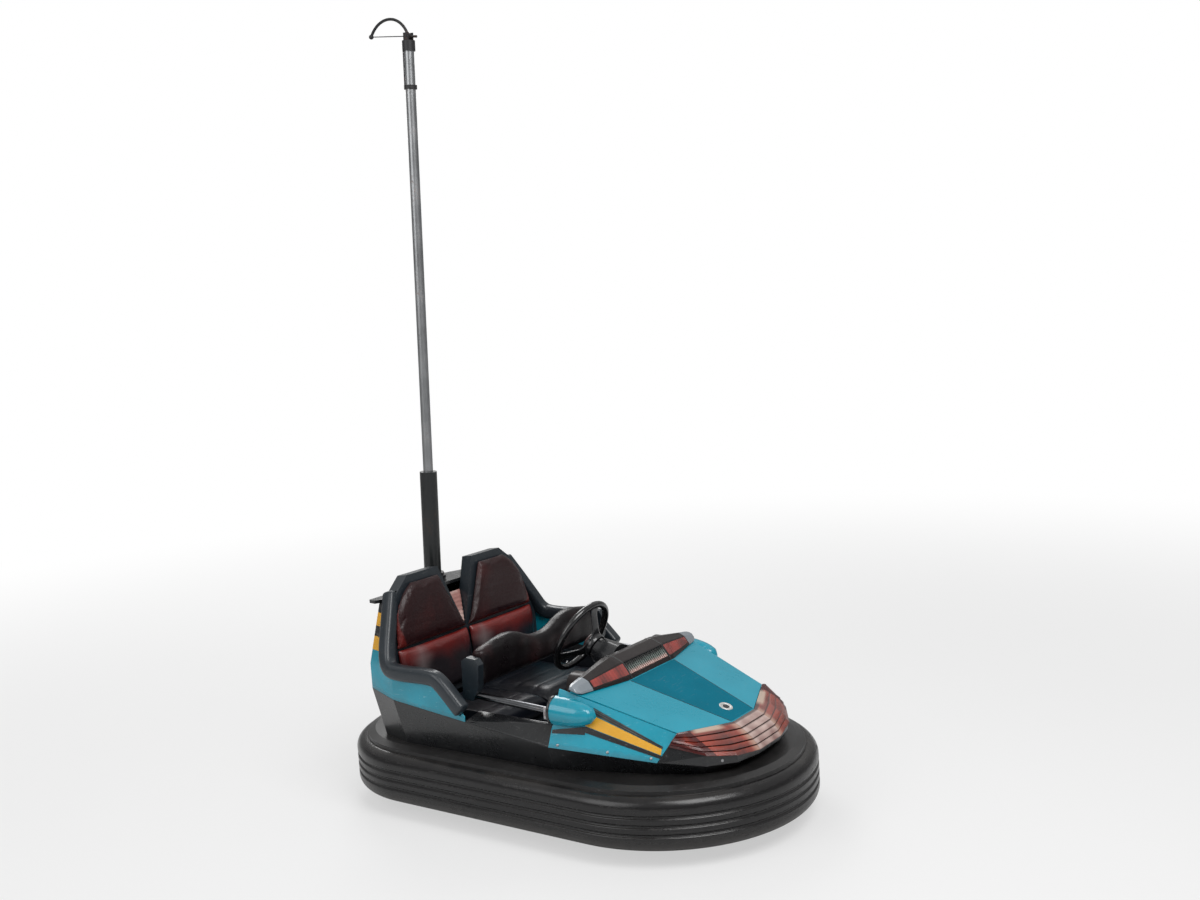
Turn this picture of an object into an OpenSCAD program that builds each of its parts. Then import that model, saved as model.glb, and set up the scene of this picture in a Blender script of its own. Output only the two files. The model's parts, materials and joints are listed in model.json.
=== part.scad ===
// Two-seat bumper car with a ceiling current collector.
// X points forward, Y to the left, Z up. The origin is on the floor, at the middle of the rubber bumper.

/* [Bumper] */
// Length over the rubber bumper
bumper_l = 1960; // [1900:10:2040]
// Width over the rubber bumper
bumper_w = 1180; // [1160:10:1220]
// Height of the rubber ring
ring_h = 200; // [170:5:205]
// Thickness of the rubber ring from outside to inside
ring_t = 120; // [110:2:124]
// Gap between the floor and the ring
ring_clear = 62; // [56:1:70]
// Depth of the grooves round the ring
groove_d = 7; // [2:1:12]

/* [Running gear] */
// Diameter of the front drive wheel
drive_d = 260; // [250:2:270]
// Width of the front drive wheel
drive_w = 70; // [50:1:76]
// Diameter of each rear wheel
rear_d = 200; // [180:2:220]
// Width of each rear wheel
rear_w = 50; // [40:1:60]
// Distance from the rubber's nose to the drive wheel's axis
drive_inset = 348; // [340:1:352]
// Distance from the rear axle to the origin
rear_x = 550; // [520:5:580]
// Distance from the rubber's side to the middle of a rear wheel
rear_inset = 210; // [200:5:230]
// Radius of the axles
axle_r = 12; // [10:0.5:14]

/* [Body] */
// Thickness of the moulded panels
wall = 5; // [3:0.5:6]
// Height of the hood's crease at the cowl
hood_z = 574; // [560:1:590]
// Drop of the hood for each unit of length
hood_slope = 0.331; // [0.3:0.005:0.35]
// Height of the trim line amidships
trim_z = 408; // [400:1:416]
// Drop of the trim line for each unit of length
trim_slope = 0.11; // [0.09:0.005:0.12]
// Height of the rear deck
deck_z = 822; // [810:1:835]

/* [Seat] */
// Height of the seat cushion's top
seat_z = 402; // [390:1:420]
// Height of the headrests
head_z = 930; // [900:5:950]
// Angle of the seat back from upright
seat_rake = 7; // [6:0.5:9]
// Thickness of the seat back's padding
back_t = 24; // [20:1:30]

/* [Steering] */
// Diameter of the steering wheel over its rim
wheel_d = 325; // [310:5:345]
// Thickness of the steering wheel's rim
rim_t = 28; // [22:1:32]
// Angle of the column from level
column_tilt = 28; // [25:1:31]

/* [Lap bar] */
// Diameter of the lap bar's tube
lap_d = 28; // [22:1:32]
// Thickness of the lap pad
pad_t = 70; // [55:1:75]

/* [Mast] */
// Height of the top of the mast's tube
mast_top = 3115; // [2600:5:3300]
// Diameter of the mast's sleeve
sleeve_d = 74; // [60:1:76]
// Diameter of the mast's upper tube
tube_d = 42; // [34:1:50]
// Height of the top of the sleeve
sleeve_top = 1314; // [1200:2:1450]
// Forward lean of the mast
mast_lean = 2.4; // [0:0.1:3]

/* [Hidden] */

$fn = 48;
fit = 0.05;        // radial clearance of an axle in its bore
seat_gap = 0.3;    // gap between two pieces that rest on one another
panel_gap = 2.5;   // open seam between two panels
run_gap = 5;       // gap between pieces that move past one another
big = 4000;        // larger than the car

// Plan of the bumper: a half circle in front, straight sides, and two corner arcs at the tail.
half_l = bumper_l / 2;
drive_x = half_l - drive_inset;
half_w = bumper_w / 2;
rear_track = bumper_w - 2 * rear_inset;
haunch_r = 440;    // radius of the rear corners
nose_cx = half_l - half_w;
haunch_cx = haunch_r - half_l;
haunch_cy = half_w - haunch_r;
// columns: centre x, centre y, radius, first angle
arcs = [[nose_cx, 0, half_w, 0], [haunch_cx, haunch_cy, haunch_r, 90]];
arc_steps = 12;

// Points of the left half of the bumper's plan, moved inwards by inset.
function half_plan(inset) = [
    for (a = arcs) for (k = [a[3] == 0 ? 0.5 : 0 : arc_steps])
        let (t = a[3] + 90 * k / arc_steps)
        [a[0] + (a[2] - inset) * cos(t), a[1] + (a[2] - inset) * sin(t)]
];
function mirrored(p) = [for (i = [len(p) - 1 : -1 : 0]) [p[i][0], -p[i][1]]];
function plan(inset) = concat(half_plan(inset), mirrored(half_plan(inset)));

// Two triangles of a cell whose corners are given in order.
function cell(a, b, c, d) = [[a, c, b], [a, d, c]];

// Solid between two grids of points: outer faces out, inner faces in.
// The first cell tells which way round the rows run.
function reversed(list) = [for (i = [len(list) - 1 : -1 : 0]) list[i]];
module thick_grid(outer, inner) {
    m = len(outer);
    n = len(outer[0]);
    size = m * n;
    first = outer[0][0];
    turn = cross(outer[0][1] - first, outer[1][0] - first) * (first - inner[0][0]);
    tidy = function (rows) turn > 0 ? rows : reversed(rows);
    points = concat([for (r = tidy(outer)) each r], [for (r = tidy(inner)) each r]);
    skins = [
        for (i = [0 : m - 2]) for (j = [0 : n - 2])
            let (a = i * n + j, b = a + 1, c = a + n + 1, d = a + n)
            each concat(cell(a, b, c, d), cell(size + a, size + d, size + c, size + b))
    ];
    row_edges = [
        for (j = [0 : n - 2]) let (a = j, b = j + 1, c = (m - 1) * n + j, d = c + 1)
            each concat(cell(a, size + a, size + b, b), cell(c, d, size + d, size + c))
    ];
    column_edges = [
        for (i = [0 : m - 2]) let (a = i * n, b = a + n, c = a + n - 1, d = b + n - 1)
            each concat(cell(a, b, size + b, size + a), cell(c, size + c, size + d, d))
    ];
    polyhedron(points, concat(skins, row_edges, column_edges), convexity = 8);
}

// Closed tube: every ring has the same number of points, and the last ring meets the first.
module ring_loft(rings) {
    m = len(rings);
    n = len(rings[0]);
    faces = [
        for (i = [0 : m - 1]) for (j = [0 : n - 1])
            let (i2 = (i + 1) % m, j2 = (j + 1) % n)
            each cell(i * n + j, i * n + j2, i2 * n + j2, i2 * n + j)
    ];
    polyhedron([for (r = rings) each r], faces, convexity = 8);
}

// Solid along a row of sections, with flat ends.
module loft(sections) {
    m = len(sections);
    n = len(sections[0]);
    sides = [
        for (i = [0 : m - 2]) for (j = [0 : n - 1])
            let (j2 = (j + 1) % n)
            each cell(i * n + j, i * n + j2, (i + 1) * n + j2, (i + 1) * n + j)
    ];
    ends = [[for (j = [0 : n - 1]) j], [for (j = [n - 1 : -1 : 0]) (m - 1) * n + j]];
    polyhedron([for (s = sections) each s], concat(sides, ends), convexity = 8);
}

module both() {
    children();
    mirror([0, 1, 0]) children();
}

// Round rod between two points.
module rod(a, b, r) {
    d = b - a;
    translate(a) rotate([0, atan2(norm([d[0], d[1]]), d[2]), atan2(d[1], d[0])]) cylinder(h = norm(d), r = r);
}

// Body lines that several panels share.
function trim(x) = trim_z - trim_slope * x;
// The flank leans inwards as it rises and narrows towards the nose.
flank_y0 = half_w + 177.8;
flank_in = 0.383;
flank_lean = 0.442;
function flank_y(x, z) = flank_y0 - flank_in * x - flank_lean * z;
// The hood falls forwards and a little outwards from its crease.
hood_x0 = 290;
crease_y0 = 169;
hood_camber = 0.052;
crease_in = 0.19;
function crease_y(x) = crease_y0 - crease_in * (x - hood_x0);
function hood_top(x, y) = hood_z - hood_slope * (x - hood_x0) - hood_camber * max(0, abs(y) - crease_y(x));
hood_rear = 250;
hood_nose_x = half_l - 238;
cowl_x1 = 345;
// Edge where the hood meets the flank, at station x.
function edge_y(x) = (flank_y0 - flank_in * x
    - flank_lean * (hood_z - hood_slope * (x - hood_x0) + hood_camber * crease_y(x)))
    / (1 - flank_lean * hood_camber);
function edge(x) = [x, edge_y(x), hood_top(x, edge_y(x))];
function crease(x) = [x, crease_y(x), hood_top(x, 0)];
function on_flank(x, z) = [x, flank_y(x, z), z];

// Half widths of the body at the trim line, from the tail to the nose: x and half width.
flank_x0 = 208;
flank_x1 = half_l - 380;
lens_x1 = half_l - 330;
belt_side = half_w - 68;
quarter_x = 420 - half_l;
corner_in = 0.3;
tail_x = 258 - half_l;
nose_outline = [[half_l - 224, half_w - 288], [half_l - 157, half_w - 392], [half_l - 134, 80]];
tail_outline = [[118 - half_l, 60], [135 - half_l, half_w - 380], [185 - half_l, half_w - 245]];
belt = concat(
    tail_outline,
    [[tail_x, belt_side - corner_in * (quarter_x - tail_x)], [quarter_x, belt_side], [-150, belt_side]],
    [for (x = [flank_x0, flank_x1]) [x, flank_y(x, trim(x))]],
    nose_outline
);
// Left half of the belt, moved inwards by inset, from the tail's middle to the nose's middle.
function belt_half(inset) = concat(
    [[belt[0][0] + inset, 0]],
    [for (p = belt) let (l = norm([p[0] * 0.6, p[1]])) p - inset / l * [p[0] * 0.6, p[1]]],
    [[belt[len(belt) - 1][0] - inset, 0]]
);

// Heights that stack from the floor up.
rail_z = 50;
rail_h = 30;
pan_z = rail_z + rail_h;
pan_t = 6;
floor_z = pan_z + pan_t;
ring_top = ring_clear + ring_h;
shelf_top = ring_top + 24;
band_t = 6;

// Rubber ring

// Section of the ring: flat inside, rounded at the outer corners, with three grooves in its face.
ring_round = 44;
groove_w = 9;
groove_pitch = 34;
function round_corner(x, z, first) = [
    for (k = [0 : 4]) let (a = first + 22.5 * k) [x + ring_round * cos(a), z + ring_round * sin(a)]
];
ring_section = concat(
    [[-ring_t, 0]],
    round_corner(-ring_round, ring_round, -90),
    [for (k = [-1 : 1]) let (z = ring_h / 2 + k * groove_pitch)
        each [[0, z - groove_w], [-groove_d, z - groove_w / 2],
            [-groove_d, z + groove_w / 2], [0, z + groove_w]]],
    round_corner(-ring_round, ring_h - ring_round, 0),
    [[-ring_t, ring_h]]
);

module ring_arc(x, y, r, first, turn) {
    translate([x, y]) rotate([0, 0, first])
        rotate_extrude(angle = turn, $fn = 96) translate([r, 0]) polygon(ring_section);
}

module bumper_ring() {
    color([0.12, 0.11, 0.12]) translate([0, 0, ring_clear]) {
        ring_arc(nose_cx, 0, half_w, -90, 180);
        both() {
            ring_arc(haunch_cx, haunch_cy, haunch_r, 90, 90);
            translate([haunch_cx, half_w, 0]) rotate([90, 0, 90])
                linear_extrude(nose_cx - haunch_cx) polygon(ring_section);
        }
        translate([-half_l, haunch_cy, 0]) rotate([90, 0, 0])
            linear_extrude(2 * haunch_cy) polygon([for (p = ring_section) [-p[0], p[1]]]);
    }
}

module bumper_shelf() {
    // columns: inset from the bumper's plan, height
    profile = [[215, ring_top], [45, ring_top], [48, ring_top + 13], [80, shelf_top], [215, shelf_top]];
    color([0.1, 0.1, 0.11]) difference() {
        ring_loft([for (p = profile) [for (q = plan(p[0])) [q[0], q[1], p[1]]]]);
        translate([0, 0, pan_z]) linear_extrude(big) polygon(tub_plan(-seat_gap));
        translate([post_x - post_w / 2 - seat_gap, -post_w / 2 - seat_gap, pan_z])
            cube([200, post_w + 2 * seat_gap, big]);
    }
}

skirt_in = 44;     // how far the skirt's foot stands inside the belt

module base_skirt() {
    top = function (inset) [for (p = belt_half(inset)) [p[0], p[1], trim(p[0])]];
    low = function (inset) [for (p = belt_half(inset)) [p[0], p[1], shelf_top]];
    color([0.09, 0.09, 0.1]) both()
        thick_grid([low(skirt_in), top(0)], [low(skirt_in + wall), top(wall)]);
}

// Chassis

module pan_shape(inset) { polygon(plan(inset)); }

module chassis() {
    color([0.25, 0.25, 0.26]) difference() {
        union() {
            translate([0, 0, pan_z]) linear_extrude(pan_t) pan_shape(ring_t + 1);
            translate([0, 0, pan_z]) linear_extrude(ring_top - pan_z) difference() {
                pan_shape(ring_t + 1);
                pan_shape(ring_t + 1 + band_t);
            }
            both() translate([220 - half_l, 225, rail_z]) cube([bumper_l - 820, 50, rail_h + 0.01]);
        }
        translate([drive_x, 0, pan_z - 1]) cylinder(h = pan_t + 2, r = slew_r, $fn = 96);
        translate([-rear_x - rear_d / 2 - 30, -rear_track / 2 - 40, pan_z])
            cube([rear_d + 60, rear_track + 80, pan_t + 1]);
    }
}

slew_r = 165;      // inner radius of the slewing ring

module slew_ring() {
    color([0.4, 0.4, 0.42]) translate([drive_x, 0, floor_z]) difference() {
        cylinder(h = 18, r = slew_r + 30, $fn = 96);
        translate([0, 0, -1]) cylinder(h = 20, r = slew_r, $fn = 96);
    }
}

module rear_axle() {
    beam = 40;
    beam_end = rear_track / 2 - rear_w / 2 - 12;
    color([0.35, 0.35, 0.37]) {
        translate([-rear_x - beam / 2, -beam_end, pan_z]) cube([beam, 2 * beam_end, beam]);
        both() translate([-rear_x, beam_end - 1, rear_d / 2]) rotate([-90, 0, 0]) {
            cylinder(h = rear_w + 30, r = axle_r);
            cylinder(h = 10, r = axle_r + 8);
            translate([0, 0, rear_w + 18]) cylinder(h = 8, r = axle_r + 8);
        }
    }
}

module contact_brush() {
    color([0.5, 0.4, 0.3]) translate([-180, 0, 0]) {
        translate([-40, -25, rail_z + 5]) cube([80, 50, pan_z - rail_z - 5]);
        translate([-25, -15, 8]) cube([50, 30, rail_z - 3]);
    }
}

// Front body

module hood() {
    color([0.16, 0.62, 0.74]) hood_slab(0, wall);
}

// Slab with the hood's outline, between two depths below its top.
module hood_slab(upper, lower) {
    // columns: station of the edge, station of the crease
    stations = [[hood_rear, hood_rear], [cowl_x1, cowl_x1], [lens_x1, hood_nose_x]];
    face = function (d) [for (s = stations) let (e = edge(s[0]), c = crease(s[1]), in = max(0, d) * 0.2)
        [for (p = [[e, 1], [c, 1], [c, -1], [e, -1]]) [p[0][0], p[1] * (p[0][1] - in), p[0][2] - d]]];
    thick_grid(face(upper), face(lower));
}

// Stripe recess in the flank: station and the lower and upper share of the flank's height at each end.
stripe_rear = [325, 0.49, 0.74];
stripe_front = [flank_x1 + 6, 0.23, 0.41];
stripe_t = 3;
function flank_at(x, share, depth) =
    let (z = trim(x) + share * (edge(x)[2] - trim(x))) [x, flank_y(x, z) - depth, z];

module stripe_slab(outside, inside, margin) {
    quad = function (d) [for (e = [stripe_rear, stripe_front]) [
        for (k = [1, 2]) flank_at(e[0], e[k] + (k == 1 ? -margin : margin), d)
    ]];
    thick_grid(quad(outside), quad(inside));
}

// Slab with a flank's outline, between two depths inside its face.
module flank_slab(outside, inside) {
    foot_at = function (x) on_flank(x, trim(x) + seat_gap);
    face = function (d) [
        [foot_at(flank_x0) - [0, d, 0], edge(flank_x0) - [0, d, wall + 1]],
        [foot_at(flank_x1 - panel_gap) - [0, d, 0], edge(lens_x1 - panel_gap) - [0, d, wall + 1]]
    ];
    thick_grid(face(outside), face(inside));
}

module flanks() {
    color([0.16, 0.66, 0.78]) both() difference() {
        flank_slab(0, wall);
        stripe_slab(-2, stripe_t, 0);
    }
}

module stripe_inlays() {
    color([0.92, 0.66, 0.2]) both() stripe_slab(0, stripe_t, -0.003);
}

// Pods over the lap bar's pivots: half bullets on the flanks.
pod_r = 55;
pod_len = 178;
pod_at = [flank_x0 - 4, half_w - 138, 508];

module flank_block() {
    face = function (d) [for (x = [100, 500]) [for (z = [300, 700]) on_flank(x, z) - [0, d, 0]]];
    thick_grid(face(0), face(300));
}

module pods() {
    steps = 8;
    color([0.16, 0.66, 0.78]) both() difference() {
        translate(pod_at) rotate([0, 92, -3])
            rotate_extrude() polygon(concat([[0, 0]],
                [for (k = [0 : steps]) [pod_r * sqrt(1 - pow(k / steps, 2.2)), pod_len * k / steps]]));
        flank_block();
    }
}

// Lamp cluster round the nose. Each column has a foot on the chin and a head at the hood's edge.
lens_feet = [56, 42, 28, 18];
lens_ribs = 5;
rib_out = 9;
function slant(s) = let (a = on_flank(flank_x1, trim(flank_x1)), b = edge(lens_x1)) a + s * (b - a);
slant_foot = lens_feet[0] / (edge(lens_x1)[2] - trim(flank_x1));
nose_corner = [hood_nose_x, crease_y(hood_nose_x), crease(hood_nose_x)[2]];
function nose_edge(s) = edge(lens_x1) + s * (nose_corner - edge(lens_x1));
function foot(i) = let (p = nose_outline[i]) [p[0], p[1], trim(p[0]) + lens_feet[i + 1]];
lens_t = 4;
function away(p) = let (d = [p[0] - 500, p[1], 0]) d / norm(d);
function head(s) = let (p = nose_edge(s)) p + (lens_t + 1) * away(p);
// columns: point at the foot, point at the head
lens_columns = [
    [slant(slant_foot), head(0)],
    [foot(0), head(0.18)], [foot(1), head(0.6)], [foot(2), head(1)]
];
function lens_point(c, f, out) =
    let (p = c[0] + f * (c[1] - c[0]), belly = 16 * sin(180 * f))
    p + (out + belly) * away(p) + [0, 0, 0.25 * belly];
function lens_rows(columns, back) = [
    for (r = [0 : lens_ribs - 1]) each [
        [for (c = columns) lens_point(c, r / lens_ribs, back > 0 ? -back : rib_out * (r == 0 ? 0.5 : 1))],
        [for (c = columns) lens_point(c, (r + 0.8) / lens_ribs, back > 0 ? -back : 0)]
    ],
    [for (c = columns) lens_point(c, 0.995, back > 0 ? -back : 0)]
];

module corner_lenses() {
    color([0.78, 0.25, 0.12]) both() thick_grid(lens_rows(lens_columns, 0), lens_rows(lens_columns, lens_t));
}

module nose_lens() {
    last = lens_columns[3];
    inner_l = [for (p = last) [p[0], p[1] - 1, p[2]]];
    inner_r = [for (p = inner_l) [p[0], -p[1], p[2]]];
    color([0.8, 0.78, 0.76])
        thick_grid(lens_rows([inner_l, inner_r], 0), lens_rows([inner_l, inner_r], lens_t));
}

module nose_chin() {
    feet = concat([slant(0)], [for (p = nose_outline) [p[0], p[1], trim(p[0])]]);
    heads = [for (c = lens_columns) c[0]];
    row = function (points, d, rise) let (half = [
        for (i = [0 : 3]) points[i] + [i == 0 ? 0 : -0.7 * d, i == 0 ? -d : -0.7 * d, rise]
    ]) concat(half, [for (p = reversed(half)) [p[0], -p[1], p[2]]]);
    color([0.09, 0.09, 0.1])
        thick_grid(
            [row(feet, 0, seat_gap), row(heads, 0, -2 * seat_gap)],
            [row(feet, wall, seat_gap + wall * trim_slope), row(heads, wall, -2 * seat_gap)]
        );
}

// Cowl: a roll across the rear of the hood, with a grille in its face and two cans turned to the seats.
// columns: station, height above the hood
cowl_section = [[342, 0], [338, 13], [301, 48], [255, 52], [225, 38], [212, 0]];
cowl_mid = 262;
cowl_lift = 12;     // extra height of the thinned ends
// columns: distance from the middle, share of the full section
cowl_end = half_w - 165;
cowl_stations = [
    [cowl_end, 0.26], [cowl_end - 20, 0.42], [cowl_end - 80, 0.56], [250, 0.8], [165, 1]
];
function cowl_ring(y, s) = [
    for (p = cowl_section) let (x = cowl_mid + (p[0] - cowl_mid) * s)
        [x, y, hood_top(x, min(abs(y), edge_y(x))) + p[1] * s + (1 - s) * cowl_lift + seat_gap]
];
can_y = cowl_end - 140;
can_z = 542;
can_hex = [[-34, 66], [34, 66], [58, 16], [46, -64], [-46, -64], [-58, 16]];
can_x0 = 172;
can_lens = [50, 84];
grille_w = 270;
grille_depth = 8;
grille_n = 22;
function cowl_xz(k) = [cowl_section[k][0], hood_top(cowl_section[k][0], 0) + cowl_section[k][1] + seat_gap];
grille_a = cowl_xz(1) + 0.1 * (cowl_xz(2) - cowl_xz(1));
grille_b = cowl_xz(1) + 0.9 * (cowl_xz(2) - cowl_xz(1));
grille_n_dir = let (d = (grille_b - grille_a) / norm(grille_b - grille_a)) [d[1], -d[0]];

module across(y0, y1) {
    translate([0, y1, 0]) rotate([90, 0, 0]) linear_extrude(y1 - y0) children();
}

module cowl() {
    rings = concat(
        [for (s = cowl_stations) cowl_ring(s[0], s[1])],
        [for (i = [len(cowl_stations) - 1 : -1 : 0]) cowl_ring(-cowl_stations[i][0], cowl_stations[i][1])]
    );
    color([0.24, 0.25, 0.26]) difference() {
        union() {
            loft(rings);
            both() translate([can_x0, can_y, can_z]) rotate([90, 0, 90])
                linear_extrude(hood_rear - 1 - can_x0) polygon(can_hex);
        }
        hood_slab(-seat_gap, 60);
        across(-grille_w / 2, grille_w / 2) polygon([
            grille_a - grille_depth * grille_n_dir, grille_b - grille_depth * grille_n_dir,
            grille_b + 9 * grille_n_dir, grille_a + 9 * grille_n_dir
        ]);
        both() translate([can_x0 - 1, can_y - can_lens[0] / 2, can_z - can_lens[1] / 2])
            cube([4, can_lens[0], can_lens[1]]);
    }
}

module cowl_lenses() {
    gap = 0.3;
    color([0.85, 0.2, 0.15]) both()
        translate([can_x0 - 1, can_y - can_lens[0] / 2 + gap, can_z - can_lens[1] / 2 + gap])
            cube([4, can_lens[0] - 2 * gap, can_lens[1] - 2 * gap]);
}

module cowl_grille() {
    plate = 3;
    fin = 3;
    fin_h = 7;
    pitch = (grille_w - fin - 1) / (grille_n - 1);
    lift = function (p, d) p - (grille_depth - d) * grille_n_dir;
    color([0.55, 0.57, 0.58]) {
        across(-grille_w / 2 + 0.5, grille_w / 2 - 0.5)
            polygon([lift(grille_a, 0), lift(grille_b, 0), lift(grille_b, plate), lift(grille_a, plate)]);
        for (i = [0 : grille_n - 1]) let (y = -grille_w / 2 + 0.5 + i * pitch)
            across(y, y + fin)
                polygon([lift(grille_a, 0), lift(grille_b, 0), lift(grille_b, fin_h), lift(grille_a, fin_h)]);
    }
}

// Interior
tub_top = 445;
tub_y = half_w - 154;
tub_front = half_l - 560;
tub_narrow = flank_y(tub_front, tub_top) - 30.25;
tub_rear = 328 - half_l;
tub_corner = [tub_rear + 32, tub_y - 20];   // where the side turns in, and the half width at the rear
tub_t = 6;
seat_deck = 296;
riser_x = -130;
function tub_plan(d) = [
    [tub_rear + d, tub_corner[1] - d], [tub_corner[0], tub_y - d], [280, tub_y - d],
    [tub_front - d, tub_narrow - d], [tub_front - d, -tub_narrow + d], [280, -tub_y + d],
    [tub_corner[0], -tub_y + d], [tub_rear + d, -tub_corner[1] + d]
];

module tub() {
    color([0.06, 0.07, 0.1]) {
        difference() {
            translate([0, 0, floor_z]) linear_extrude(tub_top - floor_z) difference() {
                polygon(tub_plan(0));
                polygon(tub_plan(tub_t));
            }
            translate([tub_rear - 1, -big / 2, floor_z - 1])
                cube([260, big, seat_deck - tub_t - floor_z]);
        }
        translate([0, 0, floor_z]) linear_extrude(tub_t) intersection() {
            polygon(tub_plan(1));
            translate([riser_x - tub_t, -big / 2]) square([big, big]);
        }
        translate([0, 0, seat_deck - tub_t]) linear_extrude(tub_t) intersection() {
            polygon(tub_plan(1));
            translate([riser_x - big, -big / 2]) square([big, big]);
        }
        translate([riser_x - tub_t, -tub_y + 1, floor_z]) cube([tub_t, 2 * tub_y - 2, seat_deck - floor_z]);
    }
}

module pedal() {
    color([0.5, 0.5, 0.52]) translate([tub_front - 120, -230, floor_z + tub_t]) {
        rotate([0, -50, 0]) translate([0, 0, 2]) cube([120, 90, 8]);
        translate([-6, 20, 0]) cube([40, 50, 16]);
    }
}

column_box = [[60, floor_z + tub_t], [tub_front - tub_t, floor_z + tub_t], [tub_front - tub_t, 440],
    [300, 540], [236, 540], [150, 420]];
column_box_w = 84;

module dash() {
    color([0.07, 0.08, 0.1]) {
        across(-column_box_w, column_box_w) polygon(column_box);
        across(-tub_narrow + 4, tub_narrow - 4)
            polygon([
                [252, 560], [262, 560],
                [tub_front, tub_top + 7], [tub_front, tub_top], [tub_front - 12, tub_top]
            ]);
    }
}

// Steering column and wheel, in a frame whose Z points from the column to the driver.
wheel_at = [9, 0, 660];
hub_depth = 84;
shaft_r = 12;

module column_frame() {
    translate(wheel_at) rotate([0, column_tilt - 90, 0]) children();
}

module column_shroud() {
    color([0.08, 0.08, 0.1]) difference() {
        column_frame() {
            translate([0, 0, -235]) cylinder(h = 235 - hub_depth - run_gap, r1 = 92, r2 = 46);
            translate([0, 0, -hub_depth - 10]) cylinder(h = 34, r = shaft_r);
        }
        across(-column_box_w, column_box_w) polygon(column_box);
        across(-big / 2, big / 2) polygon([[252, 560], [262, 560], [tub_front, tub_top + 7], [big, big]]);
        cowl_space();
    }
}

module cowl_space() {
    under = function (x, d) [x, hood_top(x, 0) - d];
    across(-big / 2, big / 2) polygon([
        under(200, 0), under(hood_rear - 1, 0), under(hood_rear - 1, wall + 1),
        under(flank_x1, wall + 1), [flank_x1, big], [200, big]
    ]);
}

module steering_wheel() {
    rim_r = (wheel_d - rim_t) / 2;
    color([0.08, 0.08, 0.09]) column_frame() difference() {
        union() {
            rotate_extrude($fn = 72) translate([rim_r, 0]) circle(r = rim_t / 2, $fn = 24);
            rotate_extrude($fn = 72) polygon([
                [40, -hub_depth + 18], [rim_r - 4, -10], [rim_r - 4, 0], [40, -hub_depth + 30]
            ]);
            translate([0, 0, -hub_depth]) cylinder(h = 32, r = 50);
        }
        translate([0, 0, -hub_depth - 1]) cylinder(h = 26, r = shaft_r + fit);
        for (a = [0 : 2]) rotate([0, 0, 120 * a + 18])
            rotate_extrude(angle = 84, $fn = 72)
                translate([78, -hub_depth]) square([rim_r - 96, hub_depth + 20]);
    }
}

module wheel_pad() {
    color([0.35, 0.12, 0.12]) column_frame() translate([0, 0, -hub_depth + 32])
        cylinder(h = 18, r1 = 43, r2 = 38);
}

// Side and rear of the body
side_lean = 0.34;
shoulder_z = 590;
function side_y(x, z) =
    belt_side - corner_in * max(0, quarter_x - x) - side_lean * max(0, z - shoulder_z);

module sills() {
    face = function (d) [for (x = [-184, flank_x0 - 0.3]) [
        [x, belt_side - (x > 0 ? 4 : 0), trim(x) + wall - d], [x, tub_y + seat_gap, tub_top + wall - d]
    ]];
    color([0.16, 0.62, 0.74]) both() thick_grid(face(0), face(wall));
}

// Padded moulding from the headrest down the seat's side and forwards to the sill.
bolster_x = quarter_x - 50;
bolster_path = [
    [bolster_x - 66, belt_side - 154, 868], [bolster_x - 34, belt_side - 98, 770],
    [bolster_x - 2, belt_side - 38, 662], [bolster_x + 20, belt_side - 14, 606],
    [bolster_x + 62, belt_side, 584], [-340, belt_side + 2, 592], [-300, belt_side + 3, 578],
    [-190, belt_side + 4, 470]
];
bolster_half = [28, 31];

module bolster(extra) {
    n = len(bolster_path);
    sides = 12;
    rings = [for (i = [0 : n - 1]) let (
        a = bolster_path[max(0, i - 1)],
        b = bolster_path[min(n - 1, i + 1)],
        t = (b - a) / norm(b - a),
        u = cross(t, [0, 1, 0]),
        up = u / norm(u),
        w = cross(up, t)
    ) [for (k = [0 : sides - 1]) let (c = cos(360 * k / sides), s = sin(360 * k / sides))
        bolster_path[i] + (bolster_half[0] + extra) * sign(c) * pow(abs(c), 0.7) * w
            + (bolster_half[1] + extra) * sign(s) * pow(abs(s), 0.7) * up]];
    loft(rings);
}

module bolsters() {
    color([0.13, 0.14, 0.15]) both() bolster(0);
}

stripe_z0 = 645;
stripe_z1 = 788;

module quarters() {
    // columns: station, height of the panel's top
    tops = [[-188, 450], [-320, 576], [quarter_x, shoulder_z], [quarter_x - 52, stripe_z0],
        [tail_x, stripe_z0]];
    low = function (t) trim(t[0]) + seat_gap;
    middle = function (t) t[1] > shoulder_z ? shoulder_z : (t[1] + low(t)) / 2;
    face = function (d) [for (t = tops) [for (z = [low(t), middle(t), t[1]]) [t[0], side_y(t[0], z) - d, z]]];
    color([0.16, 0.66, 0.78]) both() difference() {
        thick_grid(face(0), face(wall));
        bolster(seat_gap);
    }
}

module seat_space() {
    seat_slab(-20, back_t + shell_t + 20 + 2 * seat_gap, seat_outline(-seat_gap));
}

// Everything outside the inner faces of the quarters.
module outside_space() {
    face = function (d) [for (x = [0, quarter_x, tail_x - 60]) [for (z = [300, shoulder_z, 1000])
        [x, side_y(x, z) - d, z]]];
    both() thick_grid(face(-200), face(wall + seat_gap));
}

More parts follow.
